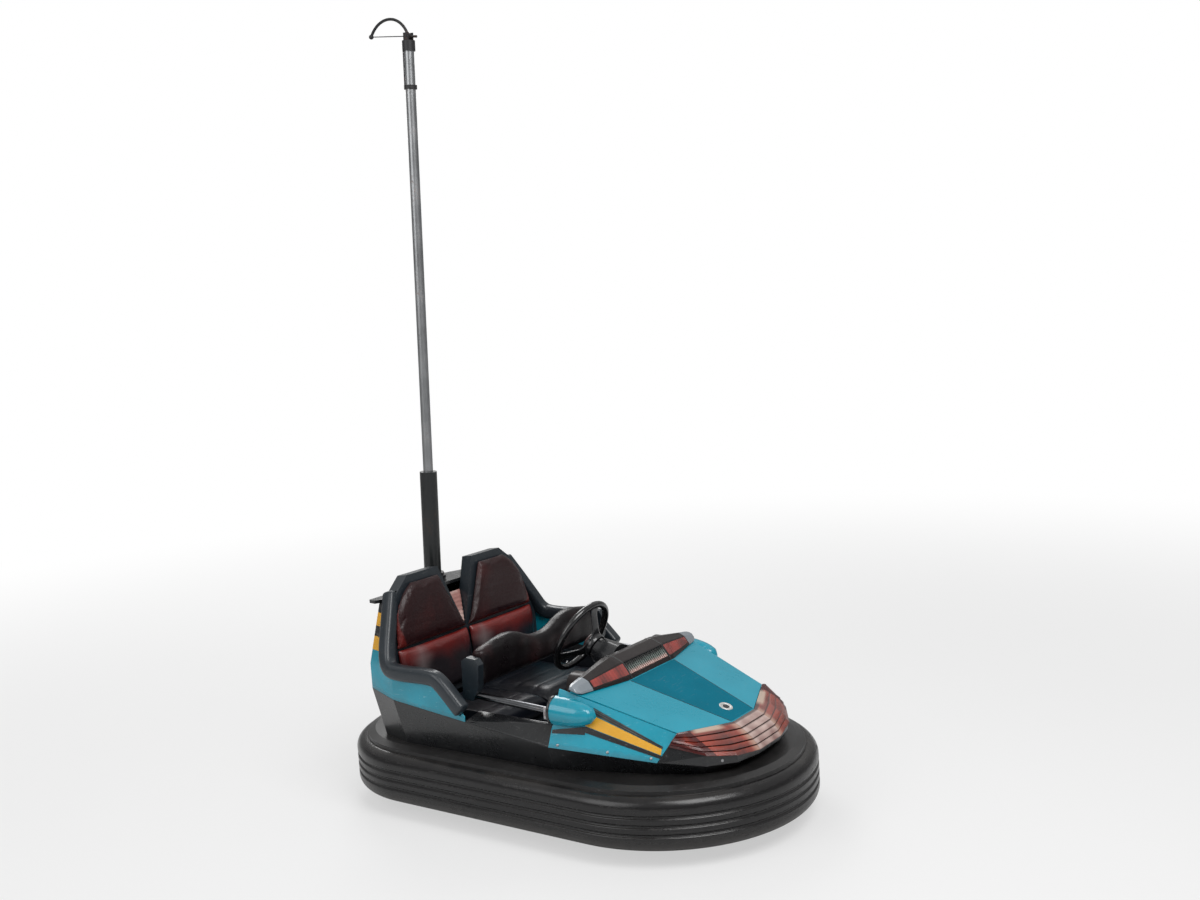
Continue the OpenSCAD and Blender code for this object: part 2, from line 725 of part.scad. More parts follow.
// Rear outline, from the seat's side round to the middle: station and half width at the trim line.
rear_outline = concat([[tail_x + 58, 0], [tail_x, 0]], reversed(tail_outline));
rear_lean = 0.12;
function rear_point(k, z, inset) = let (
    p = rear_outline[k],
    side = k < 2,
    y = side ? side_y(p[0], z) : p[1] - side_lean * max(0, z - shoulder_z) * min(1, p[1] / 200),
    x = side ? p[0] : p[0] + rear_lean * max(0, z - shoulder_z),
    push = side ? [0, -1] : [0.8, -0.6 * (k == 4 ? 0 : 1)]
) [x + inset * push[0], y + inset * push[1], z];
function rear_row(k0, z, inset) = concat(
    [for (k = [k0 : 4]) rear_point(k, is_undef(z) ? trim(rear_outline[k][0]) + seat_gap : z, inset)],
    [for (k = [4 : -1 : k0])
        let (p = rear_point(k, is_undef(z) ? trim(rear_outline[k][0]) + seat_gap : z, inset))
        [p[0], -p[1], p[2]]]
);

module rear_body() {
    lower = function (d) [rear_row(1, undef, wall + d), rear_row(1, stripe_z0, wall + d)];
    upper = function (d) [
        rear_row(0, stripe_z0, wall + d), rear_row(0, stripe_z1, wall + d), rear_row(0, stripe_z1 + 2, d),
        rear_row(0, deck_z, d)
    ];
    color([0.08, 0.08, 0.09]) difference() {
        union() {
            thick_grid(lower(0), lower(wall));
            thick_grid(upper(0), upper(wall));
        }
        both() bolster(seat_gap);
        seat_space();
    }
}

module rear_stripes() {
    band = function (d) [rear_row(0, stripe_z0 + 0.3, d), rear_row(0, stripe_z1 - 0.3, d)];
    color([0.92, 0.66, 0.2]) difference() {
        thick_grid(band(0), band(wall - seat_gap));
        both() bolster(seat_gap);
        seat_space();
    }
}

lamp_low = trim(tail_x) + 22.58;
lamp_high = stripe_z0 - 20;

module rear_lamps() {
    band = function (d) [rear_row(2, lamp_low, d), rear_row(2, lamp_high, d)];
    color([0.6, 0.08, 0.08]) thick_grid(band(-3), band(wall - seat_gap));
}

// Seat: a bench with two headrests. The back leans in a frame whose Z runs up along it.
seat_y = tub_y - 16;
seat_back_x = 424 - half_l;
valley_z = 646;
// columns: half width and height, from the cushion to the valley between the headrests
function seat_outline(d) = [
    [seat_y - 16 - d, seat_z + max(0, d)], [seat_y - 16 - d, 452 + d], [470 - d, 505 + d],
    [484 - d, valley_z], [428 - d, 770], [378 - d, 868 - d / 2], [300 - d, head_z - d], [112 + d, head_z - d],
    [max(0.5, d), valley_z + 4]
];
// The padding: smaller than the shell, with its outer edge nearly upright.
pad_outline = [
    [seat_y - 32, seat_z + 16], [seat_y - 32, 468], [444, 530], [444, valley_z], [418, 790], [366, 862],
    [306, head_z - 24], [134, head_z - 24], [12, valley_z + 4]
];

module seat_frame() {
    translate([seat_back_x, 0, seat_z]) rotate([0, -seat_rake, 0]) children();
}

module seat_slab(depth, thick, outline) {
    flat = [for (p = outline) [p[0], (p[1] - seat_z) / cos(seat_rake)]];
    seat_frame() translate([-depth - thick, 0, 0]) rotate([90, 0, 90]) linear_extrude(thick)
        polygon(concat(flat, [for (p = reversed(flat)) [-p[0], p[1]]]));
}

shell_t = 55;

module seat_back() {
    color([0.27, 0.13, 0.13]) difference() {
        seat_slab(0, back_t, pad_outline);
        both() bolster(seat_gap);
        outside_space();
    }
}

module seat_shell() {
    color([0.13, 0.14, 0.15]) difference() {
        seat_slab(back_t + seat_gap, shell_t, seat_outline(0));
        both() bolster(seat_gap);
        outside_space();
    }
}

// Leaning pad that fills the gap between the headrests.
module valley_pad() {
    low = 16;       // lower and upper edge, above the valley's foot
    high = 152;
    lean = 0.3;
    side = function (up) (up - 6) * 112 / (head_z - valley_z - 4);
    face = function (x, up)
        [for (s = [1, -1]) [x - (up - low) * lean, s * side(up), (valley_z - seat_z + up) / cos(seat_rake)]];
    front = -back_t - seat_gap;
    color([0.45, 0.2, 0.2]) seat_frame()
        thick_grid([face(front, low), face(front, high)], [face(front - 30, low), face(front - 30, high)]);
}

module seat_cushion() {
    nose = 40;
    back_x = seat_back_x - 20;
    color([0.05, 0.06, 0.08]) across(-seat_y, seat_y) {
        translate([back_x, seat_deck + seat_gap]) square([400 - nose, seat_z - seat_deck - 2 * seat_gap]);
        translate([back_x, seat_deck + seat_gap]) square([400, seat_z - seat_deck - nose]);
        translate([seat_back_x + 380 - nose, seat_z - nose - seat_gap]) circle(r = nose);
    }
}

// Mast
mast_at = [203 - half_l, 0, 858];
socket_r = 48;
post_x = 200 - half_l;
post_w = 64;

module mast_frame() {
    translate(mast_at) rotate([0, mast_lean, 0]) children();
}

module rear_deck() {
    depth = (back_t + shell_t + 2 * seat_gap) / cos(seat_rake);
    back_line = function (z) seat_back_x - (z - seat_z) * tan(seat_rake) - depth;
    t = 14;
    ear = [tail_x - 36, half_w - 182];
    points = concat(
        [[back_line(deck_z), half_w - 260], [ear[0] + 23, ear[1]], [ear[0] - 12, ear[1] - 6]],
        [for (k = [2 : 4]) let (p = rear_point(k, deck_z, -6)) [p[0], p[1]]]
    );
    color([0.07, 0.07, 0.08]) difference() {
        translate([0, 0, deck_z]) linear_extrude(t)
            polygon(concat(points, [for (i = [len(points) - 1 : -1 : 0]) [points[i][0], -points[i][1]]]));
        mast_frame() translate([0, 0, -200]) cylinder(h = 400, r = socket_r + 1);
        both() bolster(seat_gap);
        seat_space();
    }
}

module mast_socket() {
    color([0.2, 0.2, 0.21]) difference() {
        union() {
            mast_frame() translate([0, 0, -340]) cylinder(h = 350, r = socket_r);
            mast_frame() translate([0, 0, -14]) cylinder(h = 14, r = socket_r + 8);
            translate([post_x - post_w / 2, -post_w / 2, floor_z]) cube([post_w, post_w, 460]);
        }
        mast_frame() translate([0, 0, -320]) cylinder(h = 400, r = sleeve_d / 2);
    }
}

tube_in = 260;

module mast_sleeve() {
    h = sleeve_top - mast_at[2];
    color([0.25, 0.26, 0.27]) mast_frame() difference() {
        translate([0, 0, -320]) cylinder(h = 320 + h, r = sleeve_d / 2);
        translate([0, 0, h - tube_in]) cylinder(h = tube_in + 1, r = tube_d / 2);
    }
}

module mast_tube() {
    h = sleeve_top - mast_at[2];
    color([0.5, 0.51, 0.52]) mast_frame() translate([0, 0, h - tube_in])
        cylinder(h = mast_top - sleeve_top + tube_in, r = tube_d / 2);
}

// Collector: the head clamps on the tube, and the bow turns on the head's pin.
head_h = 36;
pin_r = 6;
pin_up = 24;

module head_frame() {
    mast_frame() translate([0, 0, mast_top - mast_at[2]]) children();
}

module collector_head() {
    color([0.3, 0.3, 0.32]) head_frame() difference() {
        union() {
            translate([0, 0, -head_h]) cylinder(h = head_h + 6, r = tube_d / 2 + 6);
            for (s = [-1, 1]) translate([-14, s * 13 - 3, 6]) cube([28, 6, pin_up + 8]);
            translate([0, 17, 6 + pin_up - 6]) rotate([90, 0, 0]) cylinder(h = 34, r = pin_r);
            translate([0, 0, -190]) cylinder(h = 16, r = tube_d / 2 + 6);
            translate([-tube_d / 2 - 9, 0, -186]) cylinder(h = 186, r = 4);
        }
        translate([0, 0, -big]) cylinder(h = big, r = tube_d / 2);
    }
}

bow_tip = [-210, 20];
bow_sag = 70;

module collector_bow() {
    c = norm(bow_tip);
    r = c * c / (8 * bow_sag) + bow_sag / 2;
    n = [bow_tip[1], -bow_tip[0]] / c;
    mid = bow_tip / 2 - n * (r - bow_sag);
    a0 = atan2(-mid[1], -mid[0]);
    a1 = atan2(bow_tip[1] - mid[1], bow_tip[0] - mid[0]);
    color([0.15, 0.15, 0.16]) head_frame() translate([0, 0, pin_up]) difference() {
        union() {
            translate([0, 8, 0]) rotate([90, 0, 0]) cylinder(h = 16, r = 13);
            translate([mid[0], 0, mid[1]]) rotate([90, 0, 0]) rotate([0, 0, a0])
                rotate_extrude(angle = a1 - a0, $fn = 96) translate([r, 0]) circle(r = 6);
            translate([bow_tip[0], 0, bow_tip[1]]) sphere(r = 10);
            rod([0, 0, 0], [bow_tip[0], 0, bow_tip[1]], 2);
            rod([0, 0, 0], [46, 0, -6], 5);
        }
        translate([0, 20, 0]) rotate([90, 0, 0]) cylinder(h = 40, r = pin_r + fit);
    }
}

// Drive turret: a table that turns in the slewing ring and carries the wheel and motor
ring_rise = 18;
table_t = 24;

module turret() {
    z0 = floor_z + ring_rise + seat_gap;
    lug = 22;
    lug_in = drive_w / 2 + 12;
    color([0.45, 0.45, 0.47]) translate([drive_x, 0, 0]) difference() {
        union() {
            translate([0, 0, floor_z + 4]) cylinder(h = z0 - floor_z, r = 160, $fn = 96);
            translate([0, 0, z0]) cylinder(h = 6, r = 185, $fn = 96);
            both() translate([-36, lug_in, z0]) cube([72, lug, 50]);
            both() translate([-50, lug_in + lug, z0]) cube([100, 10, drive_d + 8 - z0]);
            translate([-50, -lug_in - lug - 10, drive_d + 8]) cube([100, 2 * lug_in + 2 * lug + 20, 8]);
        }
        translate([-drive_d / 2 - 7, -drive_w / 2 - run_gap, 0])
            cube([drive_d + 14, drive_w + 2 * run_gap, z0 + 20]);
        translate([0, 200, drive_d / 2]) rotate([90, 0, 0]) cylinder(h = 400, r = axle_r + fit);
    }
}

module drive_motor() {
    color([0.3, 0.32, 0.34]) translate([drive_x, 0, drive_d + 16]) cylinder(h = 100, r = 78);
}

module wheel_hub(d, w, shaft) {
    rotate([90, 0, 0]) difference() {
        union() {
            translate([0, 0, -w / 2]) cylinder(h = w, r = d * 0.3);
            if (shaft) translate([0, 0, -w / 2 - 36]) cylinder(h = w + 72, r = axle_r);
        }
        if (!shaft) translate([0, 0, -w]) cylinder(h = 2 * w, r = axle_r + fit);
    }
}

module tyre(d, w) {
    r = 8;
    rotate([90, 0, 0]) rotate_extrude($fn = 72) difference() {
        union() {
            translate([d * 0.3, -w / 2]) square([d * 0.2 - r, w]);
            translate([d * 0.3, -w / 2 + r]) square([d * 0.2, w - 2 * r]);
            for (s = [-1, 1]) translate([d / 2 - r, s * (w / 2 - r)]) circle(r = r);
        }
    }
}

module drive_hub() {
    color([0.5, 0.5, 0.52]) translate([drive_x, 0, drive_d / 2]) wheel_hub(drive_d, drive_w, true);
}
module drive_tyre() {
    color([0.1, 0.1, 0.1]) translate([drive_x, 0, drive_d / 2]) tyre(drive_d, drive_w);
}
module rear_hub(side) {
    color([0.5, 0.5, 0.52]) translate([-rear_x, side * rear_track / 2, rear_d / 2])
        wheel_hub(rear_d, rear_w, false);
}
module rear_tyre(side) {
    color([0.1, 0.1, 0.1]) translate([-rear_x, side * rear_track / 2, rear_d / 2]) tyre(rear_d, rear_w);
}

// Lap bar: two side tubes on pivots under the pods, with a padded bar between them
lap_y = half_w - 170;
lap_pivot = [165, lap_y, 487];
lap_rear = [-250, lap_y, 506];
lap_bar_x = -216;
lap_bar_z = 618;
lap_pin_r = 10;
eye_w = 22;

module lap_pivots() {
    color([0.6, 0.6, 0.62]) both() {
        difference() {
            translate([lap_pivot[0] - 20, lap_pivot[1] + 19, lap_pivot[2] - 22])
                cube([hood_rear - lap_pivot[0] + 17, 14, 44]);
            flank_slab(-100, wall + seat_gap);
        }
        translate([lap_pivot[0], lap_y + 20, lap_pivot[2]]) rotate([90, 0, 0])
            cylinder(h = 42, r = lap_pin_r);
        translate([lap_pivot[0], lap_y - 16, lap_pivot[2]]) rotate([90, 0, 0]) cylinder(h = 6, r = 16);
    }
}

module lap_frame() {
    color([0.75, 0.75, 0.77]) {
        both() difference() {
            union() {
                rod(lap_pivot - [12, 0, 0], lap_rear, lap_d / 2);
                translate([lap_pivot[0], lap_pivot[1] + eye_w / 2, lap_pivot[2]]) rotate([90, 0, 0])
                    cylinder(h = eye_w, r = 22);
            }
            translate([lap_pivot[0], lap_y + 80, lap_pivot[2]]) rotate([90, 0, 0])
                cylinder(h = 160, r = lap_pin_r + fit);
        }
        rod([lap_bar_x, -lap_y - 10, lap_bar_z], [lap_bar_x, lap_y + 10, lap_bar_z], 12);
    }
}

module lap_brackets() {
    half = 16;
    color([0.4, 0.41, 0.43]) both() difference() {
        across(lap_pivot[1] - half, lap_pivot[1] + half) polygon([
            [-212, 484], [-182, 540], [-174, 630], [-190, 652], [-236, 656], [-260, 640], [-264, 486]
        ]);
        lap_frame();
    }
}

module lap_pad() {
    half = lap_pivot[1] - 16 - seat_gap;
    low = 533;
    // columns: place across the car, height of the pad's top
    crest = [[0, 655], [70, 664], [160, 704], [240, 708], [330, 690], [half, 672]];
    color([0.1, 0.1, 0.11]) difference() {
        translate([lap_bar_x - pad_t / 2, 0, 0]) rotate([90, 0, 90]) linear_extrude(pad_t)
            polygon(concat([[-half, low], [half, low]], reversed(crest),
                [for (i = [1 : len(crest) - 1]) [-crest[i][0], crest[i][1]]]));
        rod([lap_bar_x, -half_w, lap_bar_z], [lap_bar_x, half_w, lap_bar_z], 12 + seat_gap);
    }
}

chassis();
slew_ring();
rear_axle();
contact_brush();
bumper_ring();
bumper_shelf();
base_skirt();
nose_chin();
hood();
flanks();
stripe_inlays();
pods();
corner_lenses();
nose_lens();
cowl();
cowl_grille();
cowl_lenses();
dash();
column_shroud();
tub();
pedal();
sills();
quarters();
rear_body();
rear_stripes();
rear_lamps();
rear_deck();
bolsters();
seat_cushion();
seat_back();
seat_shell();
valley_pad();
lap_pivots();
mast_socket();
mast_sleeve();
mast_tube();
collector_head();
turret();
drive_motor();
drive_hub();
drive_tyre();
rear_hub(1);  // rear_hub_left
rear_tyre(1);  // rear_tyre_left
rear_hub(-1);  // rear_hub_right
rear_tyre(-1);  // rear_tyre_right
steering_wheel();
wheel_pad();
lap_frame();
lap_brackets();
lap_pad();
collector_bow();
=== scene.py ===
"""Dresses a two-seat bumper car: rubber ring, faceted plastic body, padded seats, lap bar and mast.

X points forward, Y to the car's left and Z up, in metres, with the origin on the floor at the middle of
the rubber ring. Every new piece is a numpy surface or a rounded copy of a solid of the frame.
"""

import json
import logging
import math
from collections.abc import Callable, Sequence
from dataclasses import dataclass, field
from enum import Enum

import bmesh
import bpy
import numpy as np
from mathutils import Matrix

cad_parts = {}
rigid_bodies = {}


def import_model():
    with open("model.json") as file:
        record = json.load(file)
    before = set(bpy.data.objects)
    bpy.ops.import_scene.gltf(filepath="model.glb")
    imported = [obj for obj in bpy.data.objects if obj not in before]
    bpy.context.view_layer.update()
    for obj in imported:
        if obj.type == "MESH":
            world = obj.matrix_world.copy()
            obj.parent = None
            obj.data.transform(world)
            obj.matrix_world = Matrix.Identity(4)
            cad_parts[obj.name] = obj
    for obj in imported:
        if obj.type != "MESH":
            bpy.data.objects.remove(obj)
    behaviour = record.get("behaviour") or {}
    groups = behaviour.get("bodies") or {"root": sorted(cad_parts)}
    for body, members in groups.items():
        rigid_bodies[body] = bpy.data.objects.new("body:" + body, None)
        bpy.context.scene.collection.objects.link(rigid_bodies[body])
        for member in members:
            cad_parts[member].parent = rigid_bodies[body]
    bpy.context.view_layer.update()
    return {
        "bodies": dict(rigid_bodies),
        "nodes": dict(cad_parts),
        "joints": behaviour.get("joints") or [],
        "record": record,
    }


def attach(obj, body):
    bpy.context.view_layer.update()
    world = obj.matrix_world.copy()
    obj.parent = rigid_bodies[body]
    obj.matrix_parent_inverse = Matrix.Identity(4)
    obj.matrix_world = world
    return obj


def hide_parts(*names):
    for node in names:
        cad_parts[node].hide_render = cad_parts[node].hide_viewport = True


Array = np.ndarray
Colour = tuple[float, float, float]
log = logging.getLogger("bumper_car")


class Body(Enum):
    """Rigid bodies of the frame that pieces ride on."""

    CAR = "body"
    STEERING = "steering"
    LAP_BAR = "lap_bar"


class Side(Enum):
    """Sides of the car, as the sign of Y."""

    LEFT = 1
    RIGHT = -1


# Shader graphs


class Wire:
    """A shader socket, or a plain number, that takes part in arithmetic.

    Args:
        graph: The graph that new nodes are added to.
        socket: The output socket that carries the value.
    """

    def __init__(self, graph: "Graph", socket: bpy.types.NodeSocket) -> None:
        """Keeps the graph and the socket."""
        self.graph = graph
        self.socket = socket

    def math(self, operation: str, *others: "Wire | float") -> "Wire":
        """Adds a Math node that starts from this value."""
        return self.graph.add("ShaderNodeMath", {"operation": operation}, dict(enumerate((self, *others))))

    def __add__(self, other: "Wire | float") -> "Wire":
        """This plus the other."""
        return self.math("ADD", other)

    __radd__ = __add__

    def __mul__(self, other: "Wire | float") -> "Wire":
        """This times the other."""
        return self.math("MULTIPLY", other)

    __rmul__ = __mul__

    def __sub__(self, other: "Wire | float") -> "Wire":
        """This less the other."""
        return self.math("SUBTRACT", other)

    def __rsub__(self, other: float) -> "Wire":
        """The other less this."""
        return self.math("MULTIPLY_ADD", -1.0, other)

    def __truediv__(self, other: "Wire | float") -> "Wire":
        """This divided by the other."""
        return self.math("DIVIDE", other)

    def __pow__(self, other: float) -> "Wire":
        """This to the power of the other."""
        return self.math("POWER", other)

    def wave(self) -> "Wire":
        """Sine of this value."""
        return self.math("SINE")

    def size(self) -> "Wire":
        """Distance of this value from nought."""
        return self.math("ABSOLUTE")

    def ramp(self, low: float, high: float) -> "Wire":
        """Smooth step from 0 at low to 1 at high."""
        inputs = {"Value": self, "From Min": low, "From Max": high}
        return self.graph.add("ShaderNodeMapRange", {"interpolation_type": "SMOOTHSTEP"}, inputs)


class Graph:
    """Node graph of a material or a world, with the calls the finishes share.

    Args:
        name: Name of the material.
        world: The world, where the graph belongs to one.
    """

    def __init__(self, name: str, world: bpy.types.World | None = None) -> None:
        """Starts an empty graph."""
        self.owner = world or bpy.data.materials.new(name)
        self.owner.use_nodes = True
        self.tree = self.owner.node_tree
        self.tree.nodes.clear()

    def node(self, kind: str, settings: dict | None = None, inputs: dict | None = None) -> bpy.types.Node:
        """Adds a node, and sets its settings before its inputs.

        Args:
            kind: Type of the node.
            settings: Properties of the node.
            inputs: Values or wires, by name or number of the socket.

        Returns:
            The node.
        """
        made = self.tree.nodes.new(kind)
        for key, value in (settings or {}).items():
            setattr(made, key, value)
        for key, value in (inputs or {}).items():
            if isinstance(value, Wire):
                self.tree.links.new(value.socket, made.inputs[key])
            else:
                made.inputs[key].default_value = value
        return made

    def add(
        self, kind: str, settings: dict | None = None, inputs: dict | None = None, out: int | str = 0
    ) -> Wire:
        """Adds a node and returns one of its outputs."""
        return Wire(self, self.node(kind, settings, inputs).outputs[out])

    def place(self, scale: Sequence[float] = (1, 1, 1), source: str = "Object") -> Wire:
        """Coordinates that patterns are laid on.

        Args:
            scale: Factor along each axis.
            source: Object for the piece's own place, UV for its texture places.

        Returns:
            The coordinates.
        """
        base = self.add("ShaderNodeTexCoord", out=source)
        if tuple(scale) == (1, 1, 1):
            return base
        return self.add("ShaderNodeMapping", None, {"Vector": base, "Scale": tuple(scale)})

    def axes(self, source: str = "Object") -> tuple[Wire, Wire, Wire]:
        """The three coordinates apart."""
        split = self.node("ShaderNodeSeparateXYZ", None, {0: self.place(source=source)})
        return tuple(Wire(self, split.outputs[k]) for k in range(3))

    def noise(self, scale: float, detail: float = 3, at: Wire | None = None, rough: float = 0.5) -> Wire:
        """Cloudy noise between about 0.25 and 0.75."""
        inputs = {"Vector": at or self.place(), "Scale": scale, "Detail": detail, "Roughness": rough}
        return self.add("ShaderNodeTexNoise", None, inputs)

    def cells(self, scale: float, feature: str = "F1") -> Wire:
        """Distance in a pattern of cells."""
        inputs = {"Vector": self.place(), "Scale": scale}
        return self.add("ShaderNodeTexVoronoi", {"feature": feature}, inputs)

    def upward(self) -> Wire:
        """How far the surface faces up, from -1 to 1."""
        normal = self.add("ShaderNodeNewGeometry", out="Normal")
        return Wire(self, self.node("ShaderNodeSeparateXYZ", None, {0: normal}).outputs[2])

    def mix(self, share: Wire | float, first: Wire | Colour, second: Wire | Colour) -> Wire:
        """Blends two colours.

        Args:
            share: 0 gives the first colour and 1 the second.
            first: A colour.
            second: A colour.

        Returns:
            The colour between them.
        """
        full = [c if isinstance(c, Wire) else (*c, 1.0) for c in (first, second)]
        made = self.node("ShaderNodeMix", {"data_type": "RGBA"}, {0: share, 6: full[0], 7: full[1]})
        return Wire(self, made.outputs[2])

    def bump(self, height: Wire, depth: float, strength: float = 1.0, under: Wire | None = None) -> Wire:
        """Turns a height map into a normal.

        Args:
            height: The map, from 0 to 1.
            depth: Metres that its range stands for.
            strength: Share of the effect.
            under: Normal that this one is added to.

        Returns:
            The normal.
        """
        inputs = {"Height": height, "Distance": depth, "Strength": strength}
        if under:
            inputs["Normal"] = under
        return self.add("ShaderNodeBump", None, inputs)

    def finish(self, **inputs: Wire | float | Colour) -> bpy.types.Material:
        """Ends the graph in a Principled shader.

        Args:
            **inputs: Values or wires by name of the socket, with underscores for its spaces.

        Returns:
            The material.
        """
        plain = {k.replace("_", " "): v for k, v in inputs.items()}
        for key, value in plain.items():
            if isinstance(value, tuple) and len(value) == 3:
                plain[key] = (*value, 1.0)
        shader = self.add("ShaderNodeBsdfPrincipled", None, plain)
        self.node("ShaderNodeOutputMaterial", None, {0: shader})
        return self.owner


# Finishes


@dataclass(frozen=True)
class MouldedPlastic:
    """Glossy moulded panel: slight waviness, hairline scratches, dust where it faces up.

    Attributes:
        name: Name of the finish.
        colour: Colour of the plastic.
        roughness: Its roughness where it is clean.
        coat: Strength of the gloss coat.
        dust: Share of dust.
        grain: 1 for a moulded grain, and 0 for a smooth panel.
        dust_colour: Colour of the dust.
        ior: Index of refraction.
    """

    name: str
    colour: Colour
    roughness: float = 0.26
    coat: float = 0.35
    dust: float = 0.18
    grain: float = 0.0
    dust_colour: Colour = (0.34, 0.33, 0.31)
    ior: float = 1.48

    def build(self) -> bpy.types.Material:
        """Makes the material.

        Returns:
            The material.
        """
        g = Graph(self.name)
        cloud = g.noise(5.0, 4)
        fine = g.noise(46.0, 4)
        speck = g.noise(260.0, 3, rough=0.6)
        hair = (1 - g.noise(1.0, 2, g.place((14, 210, 160))).ramp(0.3, 0.36)) * fine.ramp(0.5, 0.62)
        cross_hair = (1 - g.noise(1.0, 2, g.place((230, 18, 150))).ramp(0.3, 0.355)) * cloud.ramp(0.48, 0.6)
        marks = (hair + cross_hair).math("MINIMUM", 1.0)
        settled = cloud.ramp(0.3, 0.7) * 0.35 + speck.ramp(0.45, 0.68) * 0.65
        grime = (g.upward().ramp(0.2, 1.0) * 0.8 + 0.2) * settled * self.dust
        deep = tuple(c * 0.9 for c in self.colour)
        base = g.mix(cloud.ramp(0.35, 0.65), deep, self.colour)
        pale = tuple(min(1.0, c * 0.6 + 0.14) for c in self.colour)
        base = g.mix(marks * 0.35, base, pale)
        base = g.mix(grime, base, self.dust_colour)
        rough = cloud * 0.08 + fine * 0.06 + marks * 0.22 + grime * 0.6 + (self.roughness - 0.07)
        peel = g.noise(190.0, 2)
        normal = g.bump(peel, 0.00012 + 0.0005 * self.grain)
        normal = g.bump(g.noise(7.0, 2), 0.0011, 0.6, normal)
        normal = g.bump(1 - marks, 0.00008, 0.6, normal)
        return g.finish(Base_Color=base, Roughness=rough, Normal=normal, Coat_Weight=self.coat,
                        Coat_Roughness=0.12, IOR=self.ior)


@dataclass(frozen=True)
class FlankPlastic:
    """Blue panel plastic with the dirt line that gathers along its foot.

    Attributes:
        name: Name of the finish.
        colour: Colour of the plastic.
        foot: Height of the foot at the car's middle.
        slope: How much the foot falls for each metre forwards.
    """

    name: str
    colour: Colour
    foot: float = 0.41
    slope: float = 0.11

    def build(self) -> bpy.types.Material:
        """Makes the material.

        Returns:
            The material.
        """
        g = Graph(self.name)
        x, _, z = g.axes()
        cloud, fine = g.noise(6.0, 4), g.noise(55.0, 4)
        height = z + x * self.slope - self.foot
        dirt = (1 - (height + (fine - 0.5) * 0.03).ramp(0.0, 0.022)) * (cloud * 0.6 + 0.1)
        hair = (1 - g.noise(1.0, 2, g.place((16, 60, 240))).ramp(0.29, 0.35)) * fine.ramp(0.5, 0.6)
        dust = g.upward().ramp(0.1, 1.0) * fine.ramp(0.4, 0.75) * 0.08
        deep = tuple(c * 0.82 for c in self.colour)
        base = g.mix(cloud.ramp(0.35, 0.65), deep, self.colour)
        base = g.mix(hair * 0.35, base, (0.3, 0.55, 0.62))
        base = g.mix(dust, base, (0.36, 0.36, 0.34))
        base = g.mix(dirt * 0.7, base, (0.045, 0.05, 0.05))
        rough = cloud * 0.1 + fine * 0.08 + hair * 0.2 + dirt * 0.35 + dust * 0.5 + 0.12
        normal = g.bump(g.noise(190.0, 2), 0.00013)
        normal = g.bump(g.noise(5.0, 2), 0.0016, 0.6, normal)
        return g.finish(Base_Color=base, Roughness=rough, Normal=normal, Coat_Weight=0.45,
                        Coat_Roughness=0.08, IOR=1.48)


@dataclass(frozen=True)
class RingRubber:
    """Black rubber with grey rubbed bands, streaks along its length and floor dust."""

    name: str
    colour: Colour = (0.008, 0.0075, 0.008)

    def build(self) -> bpy.types.Material:
        """Makes the material.

        Returns:
            The material.
        """
        g = Graph(self.name)
        _, _, z = g.axes()
        cloud, fine = g.noise(4.0, 5), g.noise(38.0, 5, rough=0.62)
        streak = g.noise(1.0, 3, g.place((5, 5, 130)))
        rub = streak.ramp(0.5, 0.72) * fine.ramp(0.4, 0.62)
        floor_dust = (1 - (z + (fine - 0.5) * 0.04).ramp(0.06, 0.13)) * 0.5
        top = g.upward().ramp(0.5, 1.0) * cloud.ramp(0.4, 0.62) * 0.3
        base = g.mix(rub * 0.3, self.colour, (0.045, 0.04, 0.04))
        base = g.mix((floor_dust + top).math("MINIMUM", 1.0) * 0.55, base, (0.12, 0.11, 0.1))
        rough = cloud * 0.14 + rub * 0.25 + floor_dust * 0.35 + 0.14
        grain = g.cells(420.0)
        normal = g.bump(grain, 0.00014)
        normal = g.bump(1 - fine, 0.0007, 0.5, normal)
        return g.finish(Base_Color=base, Roughness=rough, Normal=normal, Specular_IOR_Level=0.5)


@dataclass(frozen=True)
class TyreRubber:
    """Solid tyre: matt rubber polished grey where it rolls."""

    name: str = "tyre_rubber"

    def build(self) -> bpy.types.Material:
        """Makes the material.

        Returns:
            The material.
        """
        g = Graph(self.name)
        cloud, fine = g.noise(9.0, 4), g.noise(70.0, 4)
        base = g.mix(cloud.ramp(0.4, 0.65), (0.012, 0.012, 0.012), (0.05, 0.047, 0.043))
        normal = g.bump(fine, 0.0006)
        return g.finish(Base_Color=base, Roughness=cloud * 0.2 + 0.55, Normal=normal)


